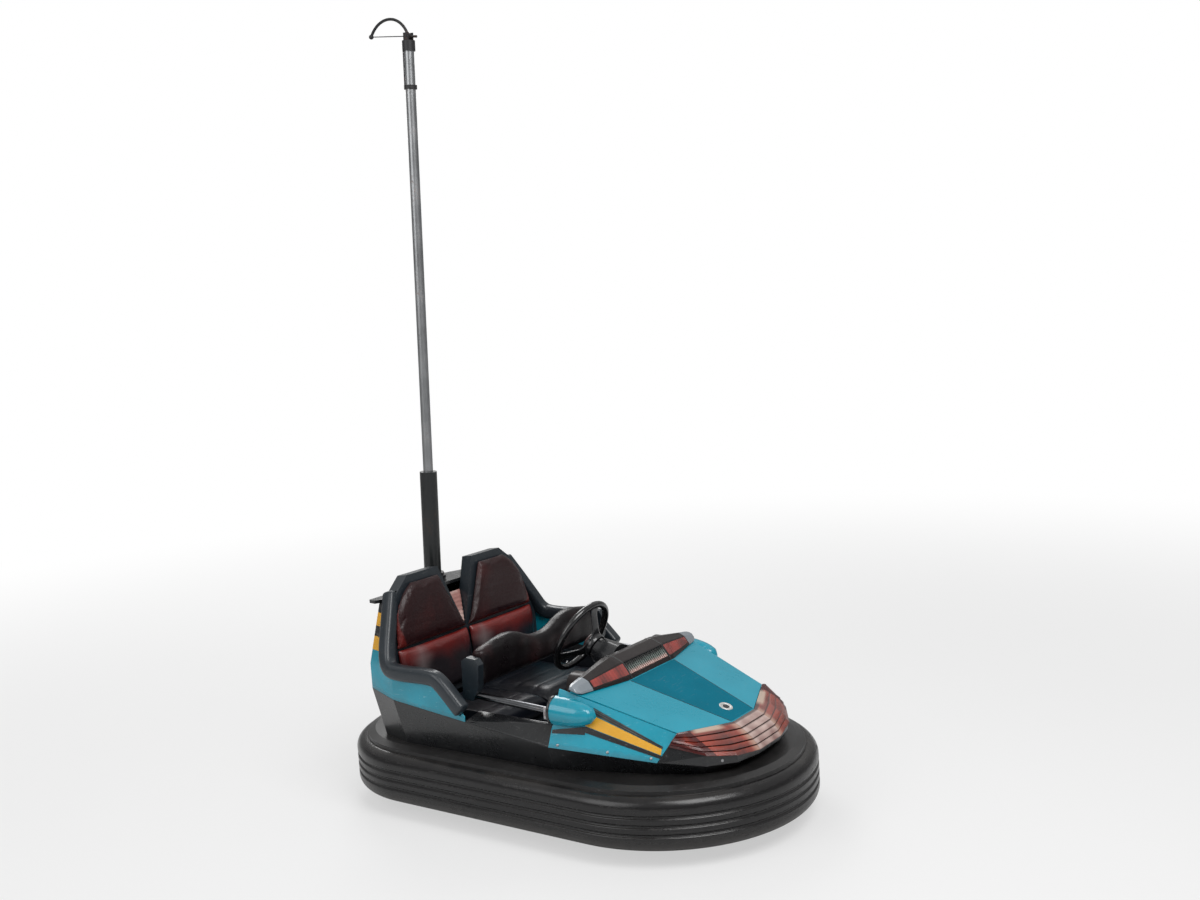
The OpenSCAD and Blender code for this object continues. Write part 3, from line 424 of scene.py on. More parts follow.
@dataclass(frozen=True)
class SeatVinyl:
    """Glossy seat vinyl: leather grain and creases.

    Attributes:
        edges: Strength of the redder bevel down the outer side and along the inner side.
        fade: Heights between which the redder colour comes in from below.
        painted_sheen: Strength of the pale sheen painted on the back pads, a painted reflection of light.
    """

    name: str
    colour: Colour
    second_colour: Colour
    wear_low: float = 0.5
    wear_high: float = 0.68
    roughness: float = 0.3
    edges: float = 0.0
    fade: tuple[float, float] | None = None
    painted_sheen: float = 0.0
    coat: float = 0.3
    ior: float = 1.5

    def build(self) -> bpy.types.Material:
        """Makes the material.

        Returns:
            The material.
        """
        g = Graph(self.name)
        cloud, fine = g.noise(5.5, 4), g.noise(30.0, 4)
        wear_and_highlight = cloud.ramp(self.wear_low, self.wear_high)
        if self.edges:
            u, v, _ = g.axes("UV")
            outer = (u - v * 0.38).ramp(0.70, 0.745)
            inner = 1 - (u + v * 0.10).ramp(0.05, 0.09)
            wear_and_highlight = ((outer + inner) * self.edges + wear_and_highlight * 0.15).math("MINIMUM", 1.0)
        if self.fade:
            _, _, z = g.axes()
            wear_and_highlight = (z + (cloud - 0.5) * 0.10).ramp(*self.fade) * 0.9 + wear_and_highlight * 0.06
        crease = g.noise(1.0, 4, g.place((9, 5, 26)), 0.6)
        grain = g.cells(330.0, "DISTANCE_TO_EDGE")
        # Second colour: worn patches, the bevels and band set above, and on the valley wedge painted
        # highlights.
        base = g.mix(wear_and_highlight, self.colour, self.second_colour)
        base = g.mix((1 - grain.ramp(0.0, 0.12)) * 0.5, base, tuple(c * 0.45 for c in self.colour))
        base = g.mix((fine - 0.45).math("MAXIMUM", 0.0) * 0.5, base, tuple(c * 0.5 for c in self.colour))
        # Painted sheen: pale places on the back pads where light reflects off the vinyl, painted into its
        # colour.
        if self.painted_sheen:
            _, y, z = g.axes()
            across = (y + 0.33).size().math("MINIMUM", (y - 0.07).size())
            place = 1 - (across * 1.1 + (z - 0.59).size() * 0.75 + (cloud - 0.5) * 0.10).ramp(-0.01, 0.10)
            base = g.mix(place * self.painted_sheen, base, (0.26, 0.21, 0.21))
        rough = cloud * 0.16 + fine * 0.1 + (1 - wear_and_highlight) * 0.05 + (self.roughness - 0.14)
        normal = g.bump(grain.math("MINIMUM", 0.12), 0.0012)
        normal = g.bump(crease, 0.004, 0.6, normal)
        return g.finish(Base_Color=base, Roughness=rough, Normal=normal, Coat_Weight=self.coat,
                        Coat_Roughness=0.2, IOR=self.ior)


@dataclass(frozen=True)
class Steel:
    """Bare, painted or chromed steel: fine brushing, handling marks and specks of rust.

    Attributes:
        name: Name of the finish.
        colour: Colour of the metal or paint.
        roughness: Its roughness where it is clean.
        metallic: 1 for bare metal, and less under paint.
        rust: Share of rust.
        brush: Fineness of the brushing along each axis.
        coat: Strength of a gloss coat.
    """

    name: str
    colour: Colour
    roughness: float
    metallic: float = 1.0
    rust: float = 0.15
    brush: tuple[float, float, float] = (60, 60, 400)
    coat: float = 0.0

    def build(self) -> bpy.types.Material:
        """Makes the material.

        Returns:
            The material.
        """
        g = Graph(self.name)
        cloud, fine = g.noise(7.0, 4), g.noise(85.0, 5, rough=0.65)
        line = g.noise(1.0, 3, g.place(self.brush))
        spot = cloud.ramp(0.5, 0.64) * fine.ramp(0.52, 0.62) * self.rust
        base = g.mix(cloud.ramp(0.3, 0.7), tuple(c * 0.8 for c in self.colour), self.colour)
        base = g.mix(spot, base, (0.16, 0.06, 0.025))
        rough = cloud * 0.14 + line * 0.12 + spot * 0.6 + (self.roughness - 0.1)
        metal = (1 - spot) * self.metallic
        normal = g.bump(line, 0.00012)
        normal = g.bump(cloud, 0.0006, 0.4, normal)
        return g.finish(Base_Color=base, Roughness=rough.math("MAXIMUM", 0.04), Metallic=metal, Normal=normal,
                        Coat_Weight=self.coat, Coat_Roughness=0.15)


@dataclass(frozen=True)
class LampLens:
    """Ribbed lamp lens over a reflector; U runs along the lamp and V up it, or both come from the place.

    Attributes:
        name: Name of the finish.
        colour: Colour in the dark places.
        bright: Colour where the reflector shines.
        flutes: Number of fine upright flutes.
        ribs: Number of ribs.
        facet: Share of the lamp that is its dark outer facet.
        facet_colour: Colour of that facet.
        crown_colour: Colour of the painted highlight along the upper rim, and of the inner end.
        rise: Heights of the lamp's foot and head, where V comes from the place.
    """

    name: str
    colour: Colour
    bright: Colour
    flutes: float = 90.0
    ribs: float = 5.0
    facet: float = 0.0
    facet_colour: Colour = (0.07, 0.004, 0.003)
    crown_colour: Colour = (0.62, 0.47, 0.36)
    rise: tuple[float, float] | None = None

    def build(self) -> bpy.types.Material:
        """Makes the material.

        Returns:
            The material.
        """
        g = Graph(self.name)
        u, v, _ = g.axes("UV")
        if self.rise:
            _, u, z = g.axes()
            v = (z - self.rise[0]) / (self.rise[1] - self.rise[0])
        flute = (u * (self.flutes * 2 * math.pi)).wave() * 0.5 + 0.5
        climb = (v * self.ribs).math("FRACT")
        gap = (1 - climb.ramp(0.02, 0.14)).math("MAXIMUM", climb.ramp(0.72, 0.88))
        cloud, fine = g.noise(14.0, 3), g.noise(120.0, 3)
        cell = (u * 13.0 + cloud * 4.0).wave() * 0.5 + 0.5
        shine = flute * 0.15 + cell * 0.3 + (cloud - 0.5) * 1.2 + climb * 0.45
        base = g.mix(shine.math("MINIMUM", 1.0), self.colour, self.bright)
        base = g.mix(gap * 0.88, base, tuple(c * 0.14 for c in self.colour))
        coat = 1.0
        if self.facet:
            # Painted highlight: a pale cream line along the lens's upper rim.
            crown = v.ramp(0.86, 0.93) * u.ramp(0.36, 0.46) * (1 - u.ramp(0.72, 0.86))
            base = g.mix(crown * 0.85, base, self.crown_colour)
            corner = 1 - (u - (1 - v) * 0.08).ramp(self.facet - 0.01, self.facet)
            # Painted glow: a brighter patch in the middle of the dark facet, as if light shone through it;
            # the lamp gives no light.
            glow = (1 - ((u * 2.2 - 0.45).size() + (v - 0.55).size()).ramp(0.0, 0.45)) * cloud.ramp(0.3, 0.7)
            base = g.mix(corner, base, g.mix(glow * 0.55, self.facet_colour, self.bright))
            base = g.mix(u.ramp(0.88, 1.0) * (1 - gap) * 0.6, base, self.crown_colour)
            coat = 1 - corner * 0.85
        base = g.mix(fine.ramp(0.62, 0.75) * 0.2, base, (0.3, 0.28, 0.25))
        rough = fine * 0.08 + cloud * 0.06 + 0.04
        normal = g.bump(1 - gap, 0.0006, 0.6, g.bump(flute, 0.0004, 0.8))
        return g.finish(Base_Color=base, Roughness=rough, Normal=normal, Coat_Weight=coat,
                        Coat_Roughness=0.03, IOR=1.55)


@dataclass(frozen=True)
class TailBands:
    """Yellow band, black band and yellow band round the tail, a little faded and chipped."""

    name: str
    yellow: Colour
    black: Colour = (0.012, 0.012, 0.013)
    black_low: float = 0.697
    black_high: float = 0.737

    def build(self) -> bpy.types.Material:
        """Makes the material.

        Returns:
            The material.
        """
        g = Graph(self.name)
        _, _, z = g.axes()
        cloud, fine = g.noise(9.0, 4), g.noise(80.0, 4)
        ragged = (fine - 0.5) * 0.003
        height = z + ragged
        band = height.ramp(self.black_low, self.black_low + 0.001)
        band = band * (1 - height.ramp(self.black_high, self.black_high + 0.001))
        chip = (fine * 0.7 + cloud * 0.3).ramp(0.6, 0.615)
        paint = g.mix(cloud.ramp(0.35, 0.65), tuple(c * 0.88 for c in self.yellow), self.yellow)
        base = g.mix(band, paint, self.black)
        base = g.mix(chip * 0.7, base, (0.09, 0.085, 0.08))
        rough = cloud * 0.15 + chip * 0.3 + 0.18
        normal = g.bump(1 - chip, 0.0002)
        return g.finish(Base_Color=base, Roughness=rough, Normal=normal, Coat_Weight=0.3, Coat_Roughness=0.15)


@dataclass(frozen=True)
class HatchedFilm:
    """Thin film printed with fine grey hatching on black."""

    name: str = "hatched_film"

    def build(self) -> bpy.types.Material:
        """Makes the material.

        Returns:
            The material.
        """
        g = Graph(self.name)
        x, _, z = g.axes()
        lines = ((x * 0.45 + z) * 900.0).wave().ramp(-0.1, 0.5)
        cloud, fine = g.noise(12.0, 4), g.noise(90.0, 4)
        base = g.mix(lines * cloud.ramp(0.3, 0.6), (0.010, 0.011, 0.012), (0.10, 0.105, 0.10))
        return g.finish(Base_Color=base, Roughness=fine * 0.2 + 0.2, Normal=g.bump(fine, 0.0001),
                        Coat_Weight=0.3)


@dataclass(frozen=True)
class GrilleMetal:
    """Ribs across the car over a plate, told by a cosine along Y.

    Attributes:
        name: Name of the finish.
        pitch: Distance between ribs.
        plates: Colours of the plate above and at its foot.
        ribs: Colours of the ribs above and at their foot.
        half: Half width of the grille.
        foot: Heights between which the foot's colour fades.
        brow: Heights between which the dark brow comes in.
    """

    name: str = "grille_metal"
    pitch: float = 0.266 / 21
    plates: tuple[Colour, Colour] = ((0.006, 0.010, 0.009), (0.34, 0.18, 0.16))
    ribs: tuple[Colour, Colour] = ((0.30, 0.36, 0.33), (0.84, 0.64, 0.58))
    half: float = 0.133
    foot: tuple[float, float] = (0.580, 0.594)
    brow: tuple[float, float] = (0.596, 0.612)

    def build(self) -> bpy.types.Material:
        """Makes the material.

        Returns:
            The material.
        """
        g = Graph(self.name)
        _, y, z = g.axes()
        ridge = ((y + self.half) * (2 * math.pi / self.pitch) + math.pi / 2).wave().ramp(0.5, 0.8)
        cloud, fine = g.noise(14.0, 3), g.noise(110.0, 4)
        low = 1 - (z + cloud * 0.006).ramp(*self.foot)
        base = g.mix(ridge, g.mix(low, *self.plates), g.mix(low, *self.ribs))
        base = g.mix((z + cloud * 0.008).ramp(*self.brow) * 0.9, base, (0.008, 0.007, 0.008))
        base = g.mix(fine.ramp(0.62, 0.75) * 0.3, base, (0.16, 0.06, 0.05))
        return g.finish(Base_Color=base, Roughness=fine * 0.15 + 0.25, Metallic=ridge * 0.2,
                        Normal=g.bump(fine, 0.0002), Coat_Weight=0.3, Coat_Roughness=0.1)


@dataclass(frozen=True)
class Backdrop:
    """Plain pale studio surface that looks white to the camera and to reflections."""

    name: str = "studio_floor"
    colour: Colour = (0.72, 0.72, 0.72)
    seen: float = 0.55

    def build(self) -> bpy.types.Material:
        """Makes the material.

        Returns:
            The material.
        """
        g = Graph(self.name)
        cloud = g.noise(0.8, 2)
        shade = g.mix(cloud.ramp(0.2, 0.8), tuple(c * 0.985 for c in self.colour), self.colour)
        seen = g.add("ShaderNodeLightPath", out="Is Camera Ray")
        diffuse = g.add("ShaderNodeBsdfPrincipled", None, {"Base Color": shade, "Roughness": 0.85})
        glow = g.add("ShaderNodeEmission", None, {"Color": (1, 1, 1, 1), "Strength": 1.0})
        x, y, _ = g.axes()
        far = ((x * x + y * y) ** 0.5).ramp(2.0, 8.0)
        share = far * (1 - self.seen) + self.seen
        both = g.add("ShaderNodeMixShader", None, {0: seen * share, 1: diffuse, 2: glow})
        g.node("ShaderNodeOutputMaterial", None, {0: both})
        return g.owner


@dataclass
class Paintbox:
    """Every finish of the car, built once."""

    BLUE: Colour = (0.006, 0.320, 0.440)
    YELLOW: Colour = (0.83, 0.42, 0.03)
    finishes: dict[str, bpy.types.Material] = field(default_factory=dict)

    def __post_init__(self) -> None:
        """Builds the finishes in a fixed order."""
        black, grey = (0.007, 0.008, 0.0095), (0.017, 0.024, 0.031)
        for f in (
            MouldedPlastic("hood_blue", self.BLUE, 0.28, 0.25, 0.06, ior=1.42),
            FlankPlastic("flank_blue", self.BLUE),
            # Darker copy of the hood blue for the middle panel: painted shade, as the middle reflects less
            # light than the sides.
            MouldedPlastic("hood_deep", (0.001, 0.155, 0.230), 0.34, 0.0, 0.01, ior=1.12),
            MouldedPlastic("stripe_yellow", self.YELLOW, 0.25, 0.4, 0.1),
            MouldedPlastic("body_black", black, 0.28, 0.3, 0.05),
            MouldedPlastic("shelf_black", (0.009, 0.0085, 0.009), 0.32, 0.25, 0.07),
            MouldedPlastic("tub_black", (0.006, 0.008, 0.012), 0.34, 0.2, 0.06, 1.0),
            MouldedPlastic("shroud_black", (0.010, 0.011, 0.013), 0.2, 0.5, 0.08),
            MouldedPlastic("moulding_grey", grey, 0.34, 0.2, 0.05, 1.0),
            MouldedPlastic("cowl_brown", (0.018, 0.013, 0.013), 0.3, 0.15, 0.07, 0.3, ior=1.3),
            MouldedPlastic("cowl_grey", (0.25, 0.28, 0.31), 0.24, 0.5, 0.05, 0.3),
            MouldedPlastic("rim_black", (0.008, 0.008, 0.009), 0.16, 0.6, 0.06, 0.4),
            RingRubber("ring_rubber"),
            TyreRubber(),
            SeatVinyl("headrest_vinyl", (0.026, 0.007, 0.008), (0.18, 0.020, 0.016),
                      edges=0.85, coat=0.1, ior=1.4),
            SeatVinyl("back_vinyl", (0.012, 0.008, 0.011), (0.30, 0.020, 0.014),
                      fade=(0.545, 0.66), painted_sheen=0.6),
            SeatVinyl("bench_vinyl", (0.006, 0.008, 0.013), (0.014, 0.013, 0.019), 0.52, 0.72, 0.28,
                      coat=0.2, ior=1.4),
            SeatVinyl("pad_maroon", (0.050, 0.013, 0.014), (0.12, 0.02, 0.018)),
            # Valley wedge: pale pink vinyl, partly faded and partly painted reflection; its paler patches are
            # painted highlights of light on its glossy folds.
            SeatVinyl("valley_pink", (0.50, 0.24, 0.21), (0.82, 0.60, 0.54), 0.36, 0.5, 0.22),
            SeatVinyl("pad_black", (0.007, 0.005, 0.006), (0.028, 0.010, 0.011), 0.5, 0.7, 0.26,
                      coat=0.12, ior=1.3),
            # Chrome darkened in its colour: a painted reflection of dark surroundings on the lap bar's tubes.
            Steel("lap_steel", (0.17, 0.175, 0.185), 0.15, rust=0.2, brush=(80, 80, 80)),
            GrilleMetal(),
            Steel("chrome", (0.62, 0.63, 0.65), 0.13, rust=0.3, brush=(80, 80, 80)),
            Steel("mast_steel", (0.40, 0.41, 0.42), 0.34, rust=0.35),
            Steel("sleeve_paint", (0.011, 0.013, 0.0135), 0.36, 0.0, 0.2, coat=0.2),
            Steel("frame_paint", (0.016, 0.016, 0.018), 0.45, 0.0, 0.5),
            Steel("bare_steel", (0.34, 0.34, 0.35), 0.36, rust=0.4),
            Steel("bolt_steel", (0.45, 0.45, 0.46), 0.28, rust=0.5, brush=(200, 200, 200)),
            Steel("carbon", (0.03, 0.022, 0.016), 0.6, 0.0, 0.2),
            LampLens("lamp_amber", (0.09, 0.008, 0.004), (0.46, 0.056, 0.022), 70.0, 5.0, 0.37),
            LampLens("lamp_clear", (0.28, 0.15, 0.13), (0.74, 0.56, 0.50), 26.0),
            LampLens("lamp_red", (0.16, 0.004, 0.004), (0.5, 0.02, 0.015), 0.0, 4.0, rise=(0.500, 0.584)),
            LampLens("tail_lens", (0.10, 0.003, 0.003), (0.42, 0.018, 0.012), 60.0, 4.0),
            LampLens("lamp_brown", (0.05, 0.007, 0.006), (0.46, 0.045, 0.030), 12.0, 1.0),
            Steel("lock_steel", (0.70, 0.70, 0.68), 0.42, 0.4, 0.1, coat=0.2),
            TailBands("tail_bands", self.YELLOW),
            MouldedPlastic("film_black", (0.012, 0.013, 0.015), 0.2, 0.4, 0.05),
            HatchedFilm(),
            Backdrop(),
        ):
            self.finishes[f.name] = f.build()

    def __getitem__(self, name: str) -> bpy.types.Material:
        """The finish of that name."""
        return self.finishes[name]


# Surfaces


def unit(v: Array) -> Array:
    """Vectors along the last axis, made one long."""
    return v / np.maximum(np.linalg.norm(v, axis=-1, keepdims=True), 1e-12)


def smooth_step(t: Array, low: float, high: float) -> Array:
    """Cubic step: 3k^2 - 2k^3 with k the share of t between low and high."""
    k = np.clip((t - low) / (high - low), 0, 1)
    return k * k * (3 - 2 * k)


def resample(points: Array, count: int, closed: bool = False) -> Array:
    """Spreads points evenly along a polyline, by linear steps of its running length.

    Args:
        points: Corners of the polyline.
        count: Number of points to give.
        closed: Whether the last corner joins the first.

    Returns:
        The points.
    """
    line = np.vstack([points, points[:1]]) if closed else points
    run = np.concatenate([[0], np.cumsum(np.linalg.norm(np.diff(line, axis=0), axis=1))])
    at = np.linspace(0, run[-1], count, endpoint=not closed)
    return np.stack([np.interp(at, run, line[:, k]) for k in range(line.shape[1])], axis=1)


def rounded(points: Array, count: int, rounds: int = 3, closed: bool = False) -> Array:
    """Rounds a polyline by corner cutting: each round keeps the points at 1/4 and 3/4 of every side.

    Args:
        points: Corners of the polyline.
        count: Number of points to give.
        rounds: Number of rounds.
        closed: Whether the last corner joins the first.

    Returns:
        Points spread evenly along the rounded line.
    """
    p = np.asarray(points, float)
    for _ in range(rounds):
        after = np.roll(p, -1, axis=0) if closed else p[1:]
        before = p if closed else p[:-1]
        cut = np.stack([0.75 * before + 0.25 * after, 0.25 * before + 0.75 * after], axis=1)
        cut = cut.reshape(-1, p.shape[1])
        p = cut if closed else np.vstack([p[:1], cut, p[-1:]])
    return resample(p, count, closed)


def grid_faces(m: int, n: int, wrap_u: bool, wrap_v: bool) -> Array:
    """Numbers the corners of a grid's quads: point (i, j) is i * n + j.

    Args:
        m: Points along U.
        n: Points along V.
        wrap_u: Whether the last row joins the first.
        wrap_v: Whether the last column joins the first.

    Returns:
        Four point numbers for each quad.
    """
    i = np.arange(m if wrap_u else m - 1)[:, None]
    j = np.arange(n if wrap_v else n - 1)[None, :]
    i2, j2 = (i + 1) % m, (j + 1) % n
    quads = np.stack(np.broadcast_arrays(i * n + j, i2 * n + j, i2 * n + j2, i * n + j2), axis=-1)
    return quads.reshape(-1, 4)


@dataclass
class Surface:
    """Points, faces and texture places of a piece before it becomes a mesh.

    Attributes:
        points: Places of the points.
        faces: Lists of point numbers.
        uv: One texture place for each point.
    """

    points: Array
    faces: list
    uv: Array

    @staticmethod
    def grid(p: Array, wrap_u: bool = False, wrap_v: bool = False, ends: bool = False) -> "Surface":
        """Makes a surface of a grid of points, whose texture place is the share of each index.

        Args:
            p: Points by U, V and axis.
            wrap_u: Whether the last row joins the first.
            wrap_v: Whether the last column joins the first.
            ends: Whether the first and last rows are closed by flat faces.

        Returns:
            The surface.
        """
        m, n = p.shape[:2]
        faces = grid_faces(m, n, wrap_u, wrap_v).tolist()
        if ends:
            faces += [list(range(n)), list(range((m - 1) * n, m * n))]
        u, v = np.meshgrid(np.linspace(0, 1, m), np.linspace(0, 1, n), indexing="ij")
        return Surface(p.reshape(-1, 3), faces, np.stack([u, v], axis=-1).reshape(-1, 2))

    @staticmethod
    def join(parts: Sequence["Surface"]) -> "Surface":
        """Joins several surfaces.

        Args:
            parts: The surfaces.

        Returns:
            One surface.
        """
        starts = np.cumsum([0] + [len(s.points) for s in parts])
        faces = [[k + int(a) for k in f] for s, a in zip(parts, starts) for f in s.faces]
        return Surface(np.vstack([s.points for s in parts]), faces, np.vstack([s.uv for s in parts]))

    def mirrored(self) -> "Surface":
        """This surface with Y turned over."""
        return Surface(self.points * np.array([1, -1, 1]), self.faces, self.uv)

    def both(self) -> "Surface":
        """This surface and its mirror image."""
        return Surface.join([self, self.mirrored()])

    def mesh(self, name: str, angle: float = 40.0) -> bpy.types.Object:
        """Makes the object, with doubles merged and faces pointing outwards.

        Args:
            name: Name of the piece.
            angle: Faces that meet at less than this many degrees are shaded as one.

        Returns:
            The new object, linked to the scene.
        """
        data = bpy.data.meshes.new(name)
        data.from_pydata(self.points.tolist(), [], [list(map(int, f)) for f in self.faces])
        layer = data.uv_layers.new(name="UVMap")
        corner = read(data.loops, "vertex_index")
        layer.data.foreach_set("uv", self.uv[corner].astype(np.float32).ravel())
        tidy(data)
        return placed(name, data, angle)


def read(items: bpy.types.bpy_prop_collection, key: str, width: int = 1) -> Array:
    """Reads one property of every item.

    Args:
        items: Points, loops or texture places of a mesh.
        key: Name of the property.
        width: Numbers in the property.

    Returns:
        A list of whole numbers for a width of 1, or else one row for each item.
    """
    out = np.empty(len(items) * width, np.int32 if width == 1 else np.float32)
    items.foreach_get(key, out)
    return out if width == 1 else out.reshape(-1, width)


def tidy(data: bpy.types.Mesh, flat: float = 0.0) -> None:
    """Merges doubles and turns faces outwards.

    Args:
        data: The mesh.
        flat: Neighbours within this many degrees become one face.
    """
    bm = bmesh.new()
    bm.from_mesh(data)
    bmesh.ops.remove_doubles(bm, verts=bm.verts, dist=2e-6)
    if flat:
        bmesh.ops.dissolve_limit(bm, angle_limit=math.radians(flat), verts=bm.verts, edges=bm.edges)
    bmesh.ops.recalc_face_normals(bm, faces=bm.faces)
    bm.to_mesh(data)
    bm.free()


def linked(name: str, data: bpy.types.ID) -> bpy.types.Object:
    """Makes an object of a mesh, lamp or camera and links it to the scene.

    Args:
        name: Name of the object.
        data: What it shows.

    Returns:
        The object.
    """
    obj = bpy.data.objects.new(name, data)
    bpy.context.scene.collection.objects.link(obj)
    return obj


def placed(name: str, data: bpy.types.Mesh, angle: float) -> bpy.types.Object:
    """Makes an object of a mesh and shades it.

    Args:
        name: Name of the piece.
        data: The mesh.
        angle: Faces that meet at less than this many degrees are shaded as one.

    Returns:
        The object.
    """
    obj = linked(name, data)
    data.shade_smooth()
    if angle < 180:
        data.set_sharp_from_angle(angle=math.radians(angle))
    return obj


def circle(radius: float, sides: int) -> Array:
    """Points of a circle."""
    t = np.arange(sides) * 2 * np.pi / sides
    return radius * np.stack([np.cos(t), np.sin(t)], axis=1)


def superellipse(a: float, b: float, power: float, sides: int) -> Array:
    """Oval or squarish outline: a*|cos|^power and b*|sin|^power, with the signs of the cosine and sine.

    Args:
        a: Half width.
        b: Half height.
        power: 1 gives an ellipse, and less a squarer outline.
        sides: Number of points.

    Returns:
        The points.
    """
    t = np.arange(sides) * 2 * np.pi / sides
    c, s = np.cos(t), np.sin(t)
    return np.stack([a * np.sign(c) * abs(c) ** power, b * np.sign(s) * abs(s) ** power], axis=1)


def lathe(profile: Array, sides: int, origin: Array, axis: Array) -> Surface:
    """Turns a profile about an axis: origin + radius * (cos, sin) across the axis + height along it.

    Args:
        profile: Pairs of radius and height.
        sides: Number of points round the axis.
        origin: A point of the axis.
        axis: Its direction.

    Returns:
        The surface, with flat ends.
    """
    axis = unit(np.asarray(axis, float))
    helper = np.array([0.0, 1.0, 0.0]) if abs(axis[1]) < 0.9 else np.array([1.0, 0.0, 0.0])
    a = unit(np.cross(axis, helper))
    b = np.cross(axis, a)
    t = np.arange(sides) * 2 * np.pi / sides
    ring = np.cos(t)[:, None] * a + np.sin(t)[:, None] * b
    p = np.asarray(origin) + profile[:, None, :1] * ring[None] + profile[:, None, 1:2] * axis
    return Surface.grid(p, False, True, True)


@dataclass(frozen=True)
class Frame:
    """A tilted frame: local (a, b, c) lands at origin + a*x + b*y + c*z."""

    origin: Array
    x: Array
    y: Array
    z: Array

    @staticmethod
    def tilted(origin: Sequence[float], degrees: float) -> "Frame":
        """Frame turned about Y by that angle."""
        c, s = math.cos(math.radians(degrees)), math.sin(math.radians(degrees))
        axes = np.array([[c, 0, -s], [0, 1.0, 0], [s, 0, c]])
        return Frame(np.array(origin, float), *axes)

    def at(self, p: Array) -> Array:
        """Local points in the car's frame."""
        return self.origin + p[..., :1] * self.x + p[..., 1:2] * self.y + p[..., 2:3] * self.z


# Body lines shared with the solids


@dataclass(frozen=True)
class BodyLines:
    """Heights and widths of the front body, in metres.

    Attributes:
        hood_z: Height of the hood at its rear edge.
        hood_slope: Fall of the hood for each metre forwards.
        hood_x0: Station of the hood's rear edge.
        crease_y0: Half width of the flat middle there.
        crease_in: How much it narrows for each metre forwards.
        camber: Fall of the hood outside the crease for each metre.
        flank_y0: Half width of the flank's plane at the origin.
        flank_in: How much it narrows for each metre forwards.
        flank_lean: How much it narrows for each metre upwards.
        trim_z: Height of the body's lower line at the origin.
        trim_slope: Fall of that line for each metre forwards.
    """

    hood_z: float = 0.574
    hood_slope: float = 0.331
    hood_x0: float = 0.290
    crease_y0: float = 0.169
    crease_in: float = 0.19
    camber: float = 0.052
    flank_y0: float = 0.7678
    flank_in: float = 0.383
    flank_lean: float = 0.442
    trim_z: float = 0.408
    trim_slope: float = 0.11

    def trim(self, x: Array) -> Array:
        """Height of the body's lower line: it falls evenly towards the nose."""
        return self.trim_z - self.trim_slope * x

    def crease_y(self, x: Array) -> Array:
        """Half width of the hood's flat middle."""
        return self.crease_y0 - self.crease_in * (x - self.hood_x0)

    def hood_top(self, x: Array, y: Array) -> Array:
        """Height of the hood: an even fall forwards, and outside the crease a small fall outwards."""
        return (self.hood_z - self.hood_slope * (x - self.hood_x0)
                - self.camber * np.maximum(0, np.abs(y) - self.crease_y(x)))

    def flank_y(self, x: Array, z: Array) -> Array:
        """Half width of the flank at a height."""
        return self.flank_y0 - self.flank_in * x - self.flank_lean * z

    def edge_y(self, x: Array) -> Array:
        """Half width where hood and flank meet."""
        top = self.hood_z - self.hood_slope * (x - self.hood_x0) + self.camber * self.crease_y(x)
        level = self.flank_y0 - self.flank_in * x - self.flank_lean * top
        return level / (1 - self.flank_lean * self.camber)

    def edge(self, x: float) -> Array:
        """Point where hood and flank meet."""
        y = self.edge_y(x)
        return np.array([x, y, self.hood_top(x, y)])

    def on_flank(self, x: Array, z: Array, out: float = 0.0) -> Array:
        """Point of the flank, moved outwards."""
        return np.stack([x, self.flank_y(x, z) + out, z], axis=-1)


LINES = BodyLines()


# Sub-assemblies


@dataclass
class Assembly:
    """A group of pieces that share the paint box and ride on named bodies.

    Attributes:
        paint: The finishes.
    """

    frame: dict
    paint: Paintbox

    def dress(
        self, obj: bpy.types.Object, finish: str, body: Body, slot: str, *nodes: str
    ) -> bpy.types.Object:
        """Args:
            obj: The piece.
            finish: Name of its finish.
            body: Body that it rides.
            slot: Not used.
            *nodes: Solids that it stands for.

        Returns:
            The same piece.
        """
        obj.data.materials.clear()
        obj.data.materials.append(self.paint[finish])
        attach(obj, body.value)
        if nodes:
            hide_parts(*nodes)
        count = len(obj.data.polygons)
        log.info("piece %s: %d faces, finish %s, rides %s", obj.name, count, finish, body.value)
        return obj

    def paint_node(self, node: str, finish: str) -> None:
        """Gives a solid of the frame a finish, with its shape as it is.

        Args:
            node: The solid.
            finish: Name of the finish.
        """
        data = self.frame["nodes"][node].data
        if len(data.materials) == 0:
            data.materials.append(None)
        for k in range(len(data.materials)):
            data.materials[k] = self.paint[finish]
        log.info("node %s: finish %s", node, finish)

    def soften(self, node: str, width: float, flat: float = 0.6, angle: float = 24.0) -> bpy.types.Object:
        """Copy of a solid with its edges rounded.

        Args:
            node: The solid.
            width: Width of the rounding in metres.
            flat: Neighbours within this many degrees become one face first.
            angle: Edges sharper than this are rounded.

        Returns:
            The new object.
        """
        data = self.frame["nodes"][node].data
        corner = read(data.loops, "vertex_index")
        mesh = bpy.data.meshes.new(node + "_skin")
        mesh.from_pydata(read(data.vertices, "co", 3).tolist(), [], corner.reshape(-1, 3).tolist())
        tidy(mesh, flat)
        obj = placed(node + "_skin", mesh, 180.0)
        bevel = obj.modifiers.new("rounding", "BEVEL")
        bevel.width, bevel.segments, bevel.limit_method = width, 3, "ANGLE"
        bevel.angle_limit, bevel.harden_normals = math.radians(angle), True
        return obj

    def skin(
        self, node: str, width: float, finish: str, body: Body, slot: str, angle: float = 24.0
    ) -> bpy.types.Object:
        """Rounded copy of a solid, dressed and standing for it.

        Args:
            node: The solid.
            width: Width of the rounding in metres.
            finish: Name of the finish.
            body: Body that it rides.
            slot: Passed on to dress, which does not use it.
            angle: Edges sharper than this are rounded.

        Returns:
            The piece.
        """
        return self.dress(self.soften(node, width, angle=angle), finish, body, slot, node)


